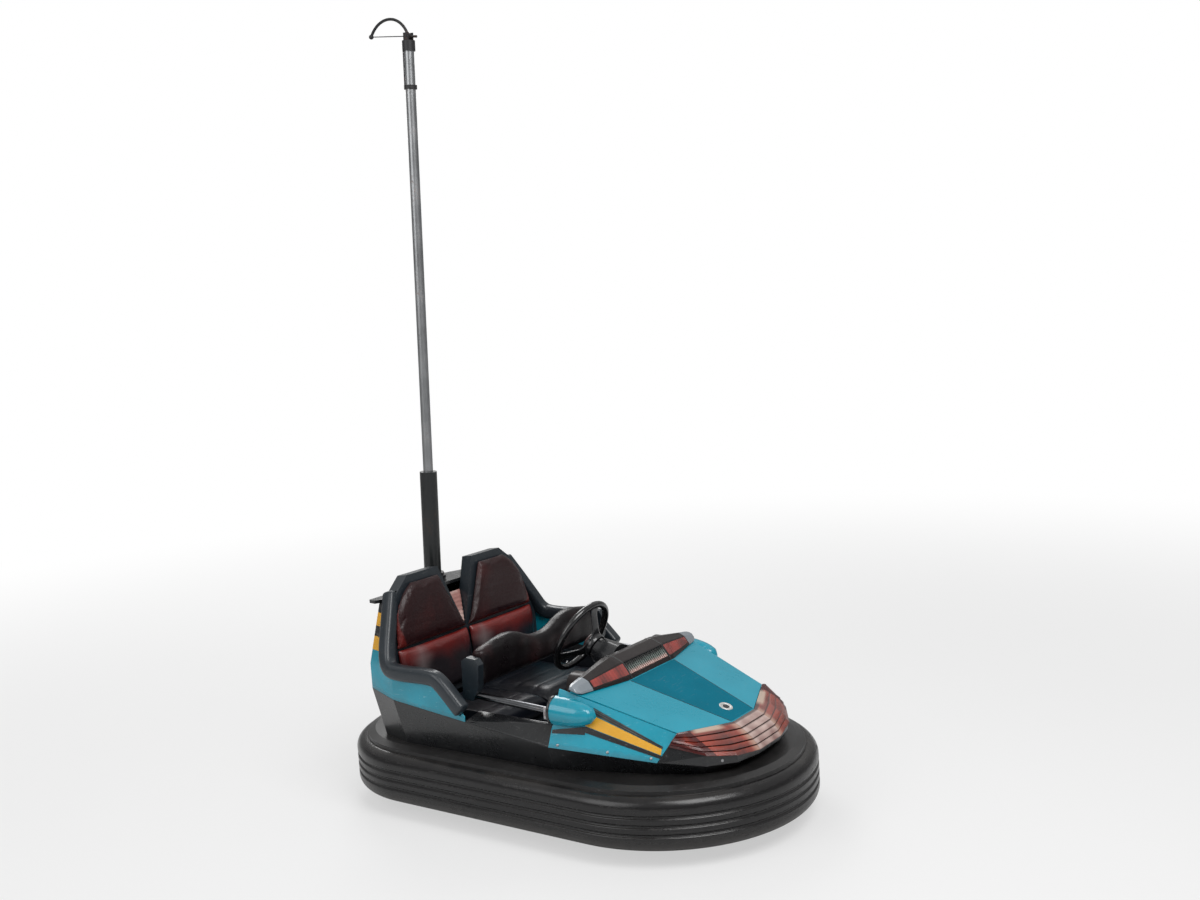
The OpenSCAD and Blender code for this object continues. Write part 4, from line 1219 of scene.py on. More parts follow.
@dataclass
class Pillow:
    """A closed padded form between a front and a back sheet.

    Attributes:
        sheet: Middle sheet: the point for u and v, each from -1 to 1.
        front: Height of the front crown.
        back: Depth of the back.
        normal: Direction the front faces.
        pinch: Share by which the sides pull in between the corners.
        power: Higher powers keep the crown flat up to its edge.
        steps: Points along each way of a sheet.
    """

    sheet: Callable[[Array, Array], Array]
    front: float
    back: float
    normal: Array
    pinch: float = 0.02
    power: float = 4.0
    steps: int = 60

    def crown(self, u: Array, v: Array) -> Array:
        """Share of the full height: ((1-|u|^p)(1-|v|^p))^(1/2.6), which is steep only near the edge."""
        return ((1 - np.abs(u) ** self.power) * (1 - np.abs(v) ** self.power)).clip(0, 1) ** (1 / 2.6)

    def surface(self, dip: Callable[[Array, Array], Array] | None = None) -> Surface:
        """Both sheets: middle + normal * (front * crown - dip * crown), and middle - normal * back * crown.

        Args:
            dip: Depth of sewn lines on the front for u and v.

        Returns:
            The closed form.
        """
        k = np.sin(np.linspace(-np.pi / 2, np.pi / 2, self.steps))
        u, v = np.meshgrid(k, k, indexing="ij")
        mid = self.sheet(u * (1 - self.pinch * (1 - v ** 2)), v * (1 - self.pinch * (1 - u ** 2)))
        share = self.crown(u, v)
        lift = self.front * share - (dip(u, v) * share if dip else 0)
        normal = np.asarray(self.normal, float)
        front = Surface.grid(mid + lift[..., None] * normal)
        back = Surface.grid(mid - (self.back * share)[..., None] * normal)
        return Surface.join([front, back])


def inflate(
    obj: bpy.types.Object, cap: float, pressure: float = 3.0, voxel: float = 0.006, frames: int = 20
) -> bpy.types.Object:
    """Swells a padded mesh by a short cloth simulation and applies the result.

    Args:
        obj: The closed mesh.
        cap: Most that a point may move, in metres.
        pressure: Cloth pressure.
        voxel: Size of the remesh.
        frames: Length of the simulation.

    Returns:
        The same object with its mesh replaced and one subdivision's smoothing.
    """
    uv_source = linked(obj.name + "_before", obj.data.copy())
    remesh = obj.modifiers.new("remesh", "REMESH")
    remesh.mode, remesh.voxel_size = "VOXEL", voxel
    bpy.context.view_layer.objects.active = obj
    bpy.ops.object.modifier_apply(modifier=remesh.name)
    before = read(obj.data.vertices, "co", 3)
    cloth = obj.modifiers.new("cloth", "CLOTH")
    cloth.settings.use_pressure = True
    cloth.settings.uniform_pressure_force = pressure
    cloth.settings.effector_weights.gravity = 0
    cloth.settings.quality = 5
    cloth.settings.mass = 0.3
    scene = bpy.context.scene
    for number in range(1, frames + 1):
        scene.frame_set(number)
    posed = obj.evaluated_get(bpy.context.evaluated_depsgraph_get())
    move = read(posed.data.vertices, "co", 3) - before
    obj.modifiers.remove(cloth)
    scene.frame_set(1)
    length = np.linalg.norm(move, axis=1, keepdims=True)
    move *= np.minimum(1, cap / np.maximum(length, 1e-9))
    obj.data.vertices.foreach_set("co", (before + move).ravel())
    copy_uv(uv_source, obj)
    bpy.data.objects.remove(uv_source)
    smooth = obj.modifiers.new("subdivision", "SUBSURF")
    smooth.levels = smooth.render_levels = 1
    bpy.ops.object.modifier_apply(modifier=smooth.name)
    obj.data.shade_smooth()
    return obj


def copy_uv(source: bpy.types.Object, target: bpy.types.Object) -> None:
    """Gives each point of a mesh the texture place of the nearest point of another.

    Args:
        source: Object whose texture places are read.
        target: Object that gets them.
    """
    points, goal = (read(obj.data.vertices, "co", 3) for obj in (source, target))
    by_point = np.zeros((len(points), 2), np.float32)
    by_point[read(source.data.loops, "vertex_index")] = read(source.data.uv_layers[0].data, "uv", 2)
    near = np.concatenate([
        np.argmin(((part[:, None] - points[None]) ** 2).sum(-1), axis=1)
        for part in np.array_split(goal, max(1, len(goal) // 400))
    ])
    layer = target.data.uv_layers.new(name="UVMap")
    layer.data.foreach_set("uv", by_point[near][read(target.data.loops, "vertex_index")].ravel())


@dataclass
class RubberRing(Assembly):
    """The rubber ring, and the shelf and skirt inside it.

    Attributes:
        half_length: Half length over the rubber.
        half_width: Half width over the rubber, and the radius of the nose.
        haunch: Radius of the two rear corners.
        height: Height of the ring.
        foot: Height of its lower face above the floor.
        depth: Width of the section.
        corner: Radius of the section's outer corners.
        groove: Depth of the three grooves.
        groove_pitch: Distance between grooves.
        groove_half: Half width of a groove.
    """

    half_length: float = 0.98
    half_width: float = 0.59
    haunch: float = 0.44
    height: float = 0.2
    foot: float = 0.062
    depth: float = 0.12
    corner: float = 0.044
    groove: float = 0.007
    groove_pitch: float = 0.034
    groove_half: float = 0.0062

    def plan(self) -> tuple[Array, Array]:
        """Closed outline: a half circle at the nose, straights and two quarter circles behind.

        Returns:
            The points and their outward normals.
        """
        nose = np.linspace(-np.pi / 2, np.pi / 2, 120)
        tail = np.linspace(np.pi / 2, np.pi, 50)
        cx, r = self.half_length - self.half_width, self.haunch
        n1 = np.stack([np.cos(nose), np.sin(nose)], axis=1)
        p1 = np.array([cx, 0]) + self.half_width * n1
        n2 = np.stack([np.cos(tail), np.sin(tail)], axis=1)
        p2 = np.array([r - self.half_length, self.half_width - r]) + r * n2
        n3, p3 = n2[::-1] * [1, -1], p2[::-1] * [1, -1]
        run = np.linspace(0, 1, 26)[1:-1, None]
        left = p1[-1] * (1 - run) + p2[0] * run
        back = p2[-1] * (1 - run[::3]) + p3[0] * run[::3]
        right = p3[-1] * (1 - run) + p1[0] * run
        points = np.vstack([p1, left, p2, back, p3, right])
        normals = np.vstack([n1, left * 0 + [0, 1], n2, back * 0 + [-1, 0], n3, right * 0 + [0, -1]])
        return points, normals

    def section(self) -> Array:
        """Section with rounded outer corners, and soft grooves exp(-(d/w)^4) in the face.

        Returns:
            Pairs of distance outwards and height.
        """
        h, r = self.height, self.corner
        a = np.linspace(-np.pi / 2, 0, 12)
        low = np.stack([-r + r * np.cos(a), r + r * np.sin(a)], axis=1)
        z = np.linspace(r, h - r, 64)[1:-1]
        offsets = h / 2 + np.array([-1, 0, 1])[:, None] * self.groove_pitch
        cut = np.exp(-((z[None] - offsets) / self.groove_half) ** 4).sum(0) * self.groove
        face = np.stack([-cut, z], axis=1)
        high = np.stack([low[::-1, 0], h - low[::-1, 1]], axis=1)
        x = np.linspace(-r, -self.depth, 10)[1:]
        top = np.stack([x, h - 0.0006 + 0 * x], axis=1)
        inner = np.array([[-self.depth, h * k] for k in (0.66, 0.33)])
        return np.vstack([low, face, high, top, inner, np.stack([x[::-1], 0 * x], axis=1)])

    def build(self) -> None:
        """Makes and dresses the pieces."""
        points, normals = self.plan()
        s = self.section()
        place = np.zeros((len(points), len(s), 3))
        place[..., :2] = points[:, None] + normals[:, None] * s[None, :, :1]
        place[..., 2] = self.foot + s[None, :, 1]
        ring = Surface.grid(place, True, True).mesh("rubber_ring", 50)
        self.dress(ring, "ring_rubber", Body.CAR, "bumper_rubber", "bumper_ring")
        self.skin("bumper_shelf", 0.006, "shelf_black", Body.CAR, "black_plastic", 18)
        self.skin("base_skirt", 0.002, "body_black", Body.CAR, "black_plastic", 18)


def away(p: Array) -> Array:
    """Level direction from a point inside the hood."""
    return unit((p - np.array([0.5, 0, 0])) * np.array([1, 1, 0]))


def ribbed_lens(
    feet: Array, heads: Array, rib: float, ribs: int, belly: float, thick: float = 0.004
) -> Surface:
    """Ribbed sheet with a back, between a line of feet and a line of heads.

    It rises from foot to head, bulges by a sine, and each rib steps out and tapers.

    Args:
        feet: Lower ends of the lens's upright edges.
        heads: Upper ends of the same edges.
        rib: How far a rib stands out at its foot.
        ribs: Number of ribs.
        belly: Height of the bulge.
        thick: Thickness of the sheet.

    Returns:
        The surface; U runs along the lens and V up it.
    """
    at = np.linspace(0, 1, len(feet))
    fine = np.unique(np.concatenate([np.linspace(0, 1, 40), at, at[1:-1] - 0.006, at[1:-1] + 0.006]))
    f, h = (np.stack([np.interp(fine, at, q[:, k]) for k in range(3)], axis=1) for q in (feet, heads))
    step = np.array([0.0, 0.06, 0.5, 0.8, 0.86, 0.999])
    v = np.unique(np.concatenate([(k + step) / ribs for k in range(ribs)]).clip(0.004, 0.995))
    phase = (v * ribs) % 1
    out = rib * smooth_step(phase, 0.0, 0.06) * (1 - 0.55 * phase) * (1 - smooth_step(phase, 0.78, 0.9))
    p = f[:, None] * (1 - v)[None, :, None] + h[:, None] * v[None, :, None]
    bulge = belly * np.sin(np.pi * v)
    way = away(p)
    rise = 0.25 * bulge[None, :, None] * np.array([0, 0, 1])
    front = p + (out + bulge)[None, :, None] * way + rise
    back = p + (bulge - thick)[None, :, None] * way + rise
    made = Surface.grid(np.concatenate([front, back[:, ::-1]], axis=1), False, True, True)
    u = np.repeat(fine, 2 * len(v))
    vv = np.tile(np.concatenate([v, v[::-1]]), len(fine))
    return Surface(made.points, made.faces, np.stack([u, vv], axis=1))


@dataclass
class FrontBody(Assembly):
    """Hood, flanks, stripes, pods and the nose's lamps.

    Attributes:
        lens_feet: Heights of the lamp's feet above the trim line, from the flank to the middle.
        rib: How far a lamp's rib stands out.
        ribs: Number of ribs.
        belly: Height of the lamp's bulge.
        nose: Stations and half widths of the chin's corners.
        shares: Places of the lamp's heads along the hood's front edge.
        flank_end: Stations where the lamp meets the flank, below and above.
        tip: Station of the hood's front corner.
        proud: How far the lamp stands in front of the hood's edge.
        hood_rear: Station where the seams and the centre panel start.
        seam: Half width and height of a seam.
        centre_in: How far the centre panel stays from the creases.
        pod_rear: Station, half width and height of a pod's rear ring.
        bezel: Radius, half length and half height of a pod's dark rim.
        bolt_rows: Stations of the bolts along the flank's foot.
        bolt_rise: Height of those bolts above the trim line.
        chin_bolts: Side of the chin and share along it for each bolt there.
        lock_at: Station of the key lock.
        films: Name and finish of each slip on the flank, and what film takes for its rear and front end.
    """

    lens_feet: tuple = (0.056, 0.042, 0.028, 0.018)
    rib: float = 0.009
    ribs: int = 5
    belly: float = 0.016
    nose: tuple = ((0.756, 0.302), (0.823, 0.198), (0.846, 0.080))
    shares: tuple = (0.0, 0.18, 0.6, 1.0)
    flank_end: tuple = (0.6, 0.650)
    tip: float = 0.742
    proud: float = 0.005
    hood_rear: float = 0.346
    seam: tuple = (0.0012, 0.0005)
    centre_in: float = 0.002
    pod_rear: tuple = (0.2045, 0.452, 0.508)
    bezel: tuple = (0.0545, 0.006, 0.0042)
    bolt_rows: tuple = (0.24, 0.42, 0.575)
    bolt_rise: float = 0.012
    chin_bolts: tuple = ((0, 0.14), (1, 0.5))
    lock_at: float = 0.669
    films: tuple = (
        ("flank_line_film", "hatched_film", (0.345, 0.75, 0.87), (0.609, 0.415, 0.48)),
        ("flank_wedge_film", "film_black", (0.330, 0.37, 0.48), (0.609, 0.13, 0.222)),
        ("flank_tail_film", "film_black", (0.212, 0.24, 0.30), (0.330, 0.33, 0.48)),
    )

    def columns(self) -> tuple[Array, Array]:
        """Ends of the lamp's upright edges, from the flank to the middle.

        Returns:
            The feet and the heads.
        """
        low, high = self.flank_end
        a = LINES.on_flank(np.array(low), np.array(LINES.trim(low)))
        b = LINES.edge(high)
        first = a + (self.lens_feet[0] / (b[2] - a[2])) * (b - a)
        feet = [first] + [np.array([x, y, LINES.trim(x) + up])
                          for (x, y), up in zip(self.nose, self.lens_feet[1:])]
        corner = np.array([self.tip, LINES.crease_y(self.tip), LINES.hood_top(self.tip, 0)])
        heads = [b + s * (corner - b) for s in self.shares]
        heads = [p + self.proud * away(p) for p in heads]
        return np.array(feet), np.array(heads)

    def film(self, rear: Sequence[float], front: Sequence[float], lift: float = 0.0006) -> Surface:
        """Thin slip on the flank.

        Args:
            rear: Station, and low and high share of the flank's height, at the rear end.
            front: The same at the front end.
            lift: Thickness of the slip.

        Returns:
            The slip.
        """
        def point(x: float, share: float, out: float) -> Array:
            """Point of the flank by station and share of its height."""
            z = LINES.trim(x) + share * (LINES.edge(x)[2] - LINES.trim(x))
            return LINES.on_flank(np.array(x), np.array(z), out)
        t = np.linspace(0, 1, 24)
        rows = []
        for share, out in ((1, 0.0001), (1, lift), (2, lift), (2, 0.0001)):
            a, b = point(rear[0], rear[share], out), point(front[0], front[share], out)
            rows.append(a[None] * (1 - t)[:, None] + b[None] * t[:, None])
        return Surface.grid(np.stack(rows, axis=1), False, True, True)

    def seams(self) -> Surface:
        """Dark lines along both creases of the hood: narrow slips just proud of the panel.

        Returns:
            Both slips.
        """
        x = np.linspace(self.hood_rear, self.tip - 0.004, 40)
        wide, high = self.seam
        rows = []
        for dy, dz in ((-wide, 0.0), (-wide, high), (wide, high), (wide, 0.0)):
            y = LINES.crease_y(x) + dy
            rows.append(np.stack([x, y, LINES.hood_top(x, y) + dz], axis=1))
        return Surface.grid(np.stack(rows, axis=1), False, True, True).both()

    def centre(self) -> Surface:
        """Darker blue slip between the creases, painted shade where the middle panel reflects less light; it
        narrows with them.

        Returns:
            The slip.
        """
        x = np.linspace(self.hood_rear, self.tip - 0.003, 50)[:, None]
        k = np.array([-1, -1, -0.5, 0, 0.5, 1, 1])[None]
        y = (LINES.crease_y(x) - self.centre_in) * k
        lift = np.array([0.0, 1, 1, 1, 1, 1, 0.0])[None] * self.seam[1]
        p = np.stack([np.broadcast_to(x, y.shape), y, LINES.hood_top(x, 0) + lift + 0 * y], -1)
        return Surface.grid(p, False, True, True)

    def bezels(self) -> Surface:
        """Dark rims at the rear of the pods: half rings of oval section, open towards the cabin.

        Returns:
            Both rims.
        """
        radius, long, high = self.bezel
        x0, y0, z0 = self.pod_rear
        a = np.radians(np.linspace(-88, 88, 60))
        s = superellipse(long, high, 0.7, 20)
        taper = np.sqrt(np.clip(1 - (np.linspace(-1, 1, 60)) ** 14, 0.02, 1))
        r = radius + s[None, :, 1] * taper[:, None]
        y = y0 + r * np.cos(a)[:, None]
        z = z0 + r * np.sin(a)[:, None]
        p = np.stack([x0 + s[None, :, 0] * taper[:, None], y, z], -1)
        return Surface.grid(p, False, True, True).both()

    def bolts(self) -> Surface:
        """Dome-headed bolts on the chin and along the flanks' foot.

        Returns:
            All bolts.
        """
        dome = np.array([[0.0068, -0.001], [0.0068, 0.0008], [0.0058, 0.0024],
                         [0.0036, 0.0034], [0.0005, 0.0037]])
        places = []
        for x in self.bolt_rows:
            z = float(LINES.trim(x)) + self.bolt_rise
            normal = np.array([LINES.flank_in, 1.0, LINES.flank_lean])
            places.append((LINES.on_flank(np.array(x), np.array(z)), normal))
        feet, _ = self.columns()
        for k, t in self.chin_bolts:
            drop = 0.55 * (self.lens_feet[k] * (1 - t) + self.lens_feet[k + 1] * t)
            spot = feet[k] * (1 - t) + feet[k + 1] * t - np.array([0, 0, drop])
            edge = feet[k + 1] - feet[k]
            places.append((spot, np.array([-edge[1], edge[0], 0.0]) * -1))
        return Surface.join([lathe(dome * 0.8, 20, at, axis) for at, axis in places]).both()

    def lock(self) -> tuple[Surface, Surface]:
        """Round key lock near the hood's tip.

        Returns:
            The bevelled ring and the recessed core.
        """
        origin = np.array([self.lock_at, 0.0, LINES.hood_top(self.lock_at, 0.0)])
        axis = np.array([LINES.hood_slope, 0, 1.0])
        ring = np.array([[0.0270, -0.002], [0.0270, 0.0014], [0.0252, 0.0034], [0.0200, 0.0038],
                         [0.0172, 0.0026], [0.0162, 0.0012], [0.0100, 0.0011]])
        core = np.array([[0.0130, 0.0004], [0.0130, 0.0024], [0.0112, 0.0032],
                         [0.0020, 0.0033], [0.0012, 0.0012]])
        return lathe(ring, 56, origin, axis), lathe(core, 40, origin, axis)

    def build(self) -> None:
        """Makes and dresses the pieces."""
        self.skin("hood", 0.0016, "hood_blue", Body.CAR, "blue_plastic", 8)
        self.skin("flanks", 0.0016, "flank_blue", Body.CAR, "blue_plastic")
        self.skin("pods", 0.002, "flank_blue", Body.CAR, "blue_plastic", 40)
        self.skin("stripe_inlays", 0.0006, "stripe_yellow", Body.CAR, "yellow_plastic")
        self.skin("nose_chin", 0.002, "body_black", Body.CAR, "black_plastic", 12)
        feet, heads = self.columns()
        corner = ribbed_lens(feet, heads, self.rib, self.ribs, self.belly).both().mesh("corner_lamps", 24)
        self.dress(corner, "lamp_amber", Body.CAR, "amber_lens", "corner_lenses")
        inner = np.array([feet[3], heads[3]]) - [0, 0.001, 0]
        turned = inner * [1, -1, 1]
        foot, head = (np.array([inner[k], turned[k]]) for k in (0, 1))
        middle = ribbed_lens(foot, head, self.rib, self.ribs, self.belly)
        self.dress(middle.mesh("nose_lamp", 24), "lamp_clear", Body.CAR, "clear_lens", "nose_lens")
        for name, finish, rear, front in self.films:
            self.dress(self.film(rear, front).both().mesh(name), finish, Body.CAR, "black_plastic")
        self.dress(self.centre().mesh("hood_centre"), "hood_deep", Body.CAR, "blue_plastic")
        self.dress(self.seams().mesh("hood_seams"), "film_black", Body.CAR, "black_plastic")
        self.dress(self.bezels().mesh("pod_bezels", 50), "film_black", Body.CAR, "black_plastic")
        self.dress(self.bolts().mesh("front_bolts", 40), "bolt_steel", Body.CAR, "bare_steel")
        ring, core = self.lock()
        self.dress(ring.mesh("lock_ring"), "lock_steel", Body.CAR, "chrome_tube")
        self.dress(core.mesh("lock_core"), "shroud_black", Body.CAR, "black_plastic")


@dataclass
class Cowl(Assembly):
    """The roll across the rear of the hood, its grille and the two cans behind it.

    Attributes:
        section: Stations and heights of the roll's section above the hood.
        middle: Station about which the section shrinks towards the ends.
        stations: Half widths, and the section's size at each.
        cap_from: Half width where the end caps start.
        cap_to: Half width where they end.
        end_rise: Lift of a section of no size.
        grille_depth: Depth of the grille's window.
        window: Half widths between which the window's side rises.
        collar: Half widths of a band beside the grille.
        can: Outline of a can.
        can_at: Rear end of the right can's axis, as station, half width and height.
    """

    section: tuple = ((0.342, 0.0), (0.338, 0.013), (0.301, 0.048),
                      (0.255, 0.052), (0.225, 0.038), (0.212, 0.0))
    middle: float = 0.262
    stations: tuple = ((0.0, 1.0), (0.165, 1.0), (0.250, 0.8), (0.345, 0.56), (0.405, 0.42), (0.425, 0.26))
    cap_from: float = 0.345
    cap_to: float = 0.425
    end_rise: float = 0.012
    grille_depth: float = 0.008
    window: tuple = (0.1338, 0.1352)
    collar: tuple = (0.1370, 0.1374, 0.1385, 0.1435, 0.1446, 0.1450)
    can: tuple = ((-0.034, 0.066), (0.034, 0.066), (0.058, 0.016),
                  (0.046, -0.064), (-0.046, -0.064), (-0.058, 0.016))
    can_at: tuple = (0.172, 0.285, 0.542)

    def size_at(self, y: Array) -> Array:
        """Size of the section at places across the car."""
        return np.interp(np.abs(y), [k[0] for k in self.stations], [k[1] for k in self.stations])

    def rows(self, y: Array) -> Array:
        """Rings of the rounded section, which shrink towards the ends by middle + (x - middle) * size.

        Args:
            y: Places across the car.

        Returns:
            Points by place and number in the ring.
        """
        poly = np.array(self.section)
        cuts = np.concatenate([np.linspace(poly[k], poly[(k + 1) % 6], 12, endpoint=False) for k in range(6)])
        base = rounded(cuts, 96, 3, True)
        s = self.size_at(y)
        x = self.middle + (base[None, :, 0] - self.middle) * s[:, None]
        lift = base[None, :, 1] * s[:, None] + (1 - s)[:, None] * self.end_rise + 0.0003
        z = LINES.hood_top(x, np.minimum(np.abs(y)[:, None], LINES.edge_y(x))) + lift
        return np.stack([x, np.broadcast_to(y[:, None], x.shape), z], axis=-1)

    def roll(self) -> Surface:
        """Middle of the roll, with the grille's window pressed into its face.

        Returns:
            The roll.
        """
        marks = np.array([*self.window, 0.165, self.cap_from - 0.002, self.cap_from])
        half = np.unique(np.concatenate([marks, np.linspace(0, self.cap_from - 0.01, 56)]))
        y = np.concatenate([-half[::-1][:-1], half])
        p = self.rows(y)
        a, b = self.face_line()
        along = (b - a) / np.linalg.norm(b - a)
        out = np.array([along[1], -along[0]])
        rel = p[..., [0, 2]] - a
        t = (rel @ along) / np.linalg.norm(b - a)
        depth = np.abs(rel @ out)
        window = smooth_step(t, 0.09, 0.12) * (1 - smooth_step(t, 0.88, 0.91)) * (depth < 0.012)
        window = window * (1 - smooth_step(np.abs(y), *self.window))[:, None]
        p[..., 0] -= window * out[0] * self.grille_depth
        p[..., 2] -= window * out[1] * self.grille_depth
        return Surface.grid(p, False, True, True)

    def face_line(self) -> tuple[Array, Array]:
        """Foot and head of the roll's front face in the middle plane, as station and height."""
        points = [np.array([x, LINES.hood_top(x, 0) + up]) for x, up in self.section[1:3]]
        return points[0], points[1]

    def band(self, y: Array, grow: Array) -> Surface:
        """Pieces of the roll on both sides: each ring is middle + (point - middle) * grow.

        Args:
            y: Places across the car.
            grow: Factor for each ring.

        Returns:
            Both pieces.
        """
        p = self.rows(y)
        middle = p.mean(axis=1, keepdims=True)
        return Surface.grid(middle + (p - middle) * grow[:, None, None], False, True, True).both()

    def caps(self) -> Surface:
        """Ends of the roll beyond a fine step."""
        run = np.linspace(self.cap_from + 0.003, self.cap_to - 0.0015, 24)
        y = np.concatenate([[self.cap_from + 0.0015], run, [self.cap_to]])
        return self.band(y, np.array([0.985, *[1.0] * 24, 0.93]))

    def collars(self) -> Surface:
        """Thin bands round the roll on both sides of the grille."""
        return self.band(np.array(self.collar), np.array([1.0, 1.022, 1.03, 1.03, 1.022, 1.0]))

    def facets(self) -> Surface:
        """Lenses on the front face beside the grille: slips between two shares of the face's height.

        Returns:
            Both slips.
        """
        y = np.linspace(self.collar[-1] + 0.001, self.cap_from - 0.006, 30)
        s = self.size_at(y)
        (x0, h0), (x1, h1) = self.section[1], self.section[2]
        rings = []
        for t, out in ((0.1, -0.001), (0.1, 0.0012), (0.9, 0.0012), (0.9, -0.001)):
            x = self.middle + (x0 + (x1 - x0) * t - self.middle) * s + out * 0.69
            z = LINES.hood_top(x, y) + (h0 + (h1 - h0) * t) * s + (1 - s) * self.end_rise + out * 0.72
            rings.append(np.stack([x, y, z], axis=1))
        return Surface.grid(np.stack(rings, axis=1), False, True, True).both()

    def cans(self) -> Surface:
        """Six-sided cans: the outline with cut corners is drawn in at the rear rim and runs under the roll.

        Returns:
            Both cans.
        """
        hexagon = rounded(np.array(self.can), 72, 2, True)
        x0, y0, z0 = self.can_at
        profile = ((0.0, 0.955), (0.0006, 0.985), (0.003, 1.0), (0.076, 1.0))
        rings = [np.stack([np.full(72, x0 + dx), y0 + hexagon[:, 0] * k, z0 + hexagon[:, 1] * k], axis=1)
                 for dx, k in profile]
        return Surface.grid(np.array(rings), False, True, True).both()

    def build(self) -> None:
        """Makes and dresses the pieces."""
        self.dress(self.roll().mesh("cowl_roll", 35), "cowl_brown", Body.CAR, "grey_plastic", "cowl")
        self.dress(self.caps().mesh("cowl_caps", 35), "cowl_grey", Body.CAR, "grey_plastic")
        self.dress(self.collars().mesh("cowl_collars", 35), "film_black", Body.CAR, "grey_plastic")
        self.dress(self.facets().mesh("cowl_facets", 35), "lamp_brown", Body.CAR, "grey_plastic")
        self.dress(self.cans().mesh("cowl_cans", 35), "cowl_brown", Body.CAR, "grey_plastic")
        self.skin("cowl_grille", 0.0006, "grille_metal", Body.CAR, "grey_plastic")
        self.skin("cowl_lenses", 0.0008, "lamp_red", Body.CAR, "red_lens")


@dataclass
class Cabin(Assembly):
    """Tub, dash, steering column and pedal."""

    def build(self) -> None:
        """Makes and dresses the pieces."""
        self.skin("tub", 0.003, "tub_black", Body.CAR, "black_plastic")
        self.skin("dash", 0.006, "tub_black", Body.CAR, "black_plastic")
        self.skin("column_shroud", 0.003, "shroud_black", Body.CAR, "black_plastic", 40)
        self.skin("pedal", 0.0015, "bare_steel", Body.CAR, "bare_steel")


@dataclass
class SteeringWheel(Assembly):
    """Rim, spokes, hub and horn pad.

    Attributes:
        origin: Middle of the rim.
        tilt: Degrees between the wheel and the upright.
        rim: Radius of the rim's middle line.
        tube: Half thickness of the rim.
        hub: Depth of the hub below the rim.
        waves: Number of finger waves.
    """

    origin: tuple = (0.009, 0.0, 0.660)
    tilt: float = 28.0
    rim: float = 0.1485
    tube: float = 0.014
    hub: float = 0.084
    waves: int = 36

    def frame_here(self) -> Frame:
        """Frame whose Z points from the column to the driver and whose X points up the wheel."""
        return Frame.tilted(self.origin, self.tilt - 90)

    def ring(self) -> Surface:
        """Rim: a circle of round section with shallow finger waves, 1 - 0.045 (1 + cos(waves t)) / 2, inside.

        Returns:
            The rim.
        """
        t = np.linspace(0, 2 * np.pi, 180, endpoint=False)
        s = circle(1.0, 28)
        wave = 1 - 0.045 * (0.5 + 0.5 * np.cos(self.waves * t))[:, None] * (s[None, :, 0] < 0)
        r = self.rim + self.tube * s[None, :, 0] * wave
        p = np.stack([r * np.cos(t)[:, None], r * np.sin(t)[:, None],
                      np.broadcast_to(self.tube * s[None, :, 1], r.shape)], axis=-1)
        return Surface.grid(self.frame_here().at(p), True, True)

    def spoke(self, angle: float) -> Surface:
        """Spoke: a flat oval that widens to both ends and climbs from the hub to the rim.

        Args:
            angle: Direction from the wheel's upper side, in degrees.

        Returns:
            The spoke.
        """
        t = np.linspace(0, 1, 30)
        r = 0.036 + t * (self.rim - 0.040)
        z = -self.hub + 0.024 + (self.hub - 0.026) * smooth_step(t, -0.1, 1.15)
        half = 0.019 + 0.020 * (2 * t - 1) ** 4
        s = superellipse(1.0, 1.0, 0.6, 24)
        width = half[:, None] * s[None, :, 0]
        lift = z[:, None] + 0.0055 * s[None, :, 1]
        a = math.radians(angle)
        x = r[:, None] * math.cos(a) - width * math.sin(a)
        y = r[:, None] * math.sin(a) + width * math.cos(a)
        return Surface.grid(self.frame_here().at(np.stack([x, y, lift], axis=-1)), False, True, True)

    def build(self) -> None:
        """Makes and dresses the pieces."""
        here = self.frame_here()
        rim = self.ring().mesh("wheel_rim", 60)
        self.dress(rim, "rim_black", Body.STEERING, "black_plastic", "steering_wheel")
        cup = np.array([[0.0125, -self.hub], [0.048, -self.hub], [0.050, -0.081], [0.050, -0.058],
                        [0.047, -0.053], [0.0435, -0.052], [0.0435, -0.0535], [0.002, -0.0535]])
        spokes = Surface.join([self.spoke(a) for a in (0, 120, 240)] + [lathe(cup, 64, here.origin, here.z)])
        self.dress(spokes.mesh("wheel_spokes", 40), "shroud_black", Body.STEERING, "black_plastic")
        knob_at = here.at(np.array([-(self.rim - 0.002), 0.0, self.tube - 0.001]))
        knob = np.array([[0.009, 0.0], [0.009, 0.003], [0.0075, 0.0052], [0.004, 0.0062], [0.0005, 0.0064]])
        stud = lathe(knob, 32, knob_at, here.z).mesh("wheel_stud")
        self.dress(stud, "chrome", Body.STEERING, "chrome_tube")
        t = np.linspace(0, 1, 16)
        crown = np.stack([0.0425 * np.sqrt(1 - t ** 2.6).clip(0.01), -0.052 + 0.0185 * t], axis=1)
        pad = lathe(np.vstack([[0.040, -0.052], crown]), 64, here.origin, here.z).mesh("horn_pad", 70)
        self.dress(pad, "pad_maroon", Body.STEERING, "vinyl", "wheel_pad")


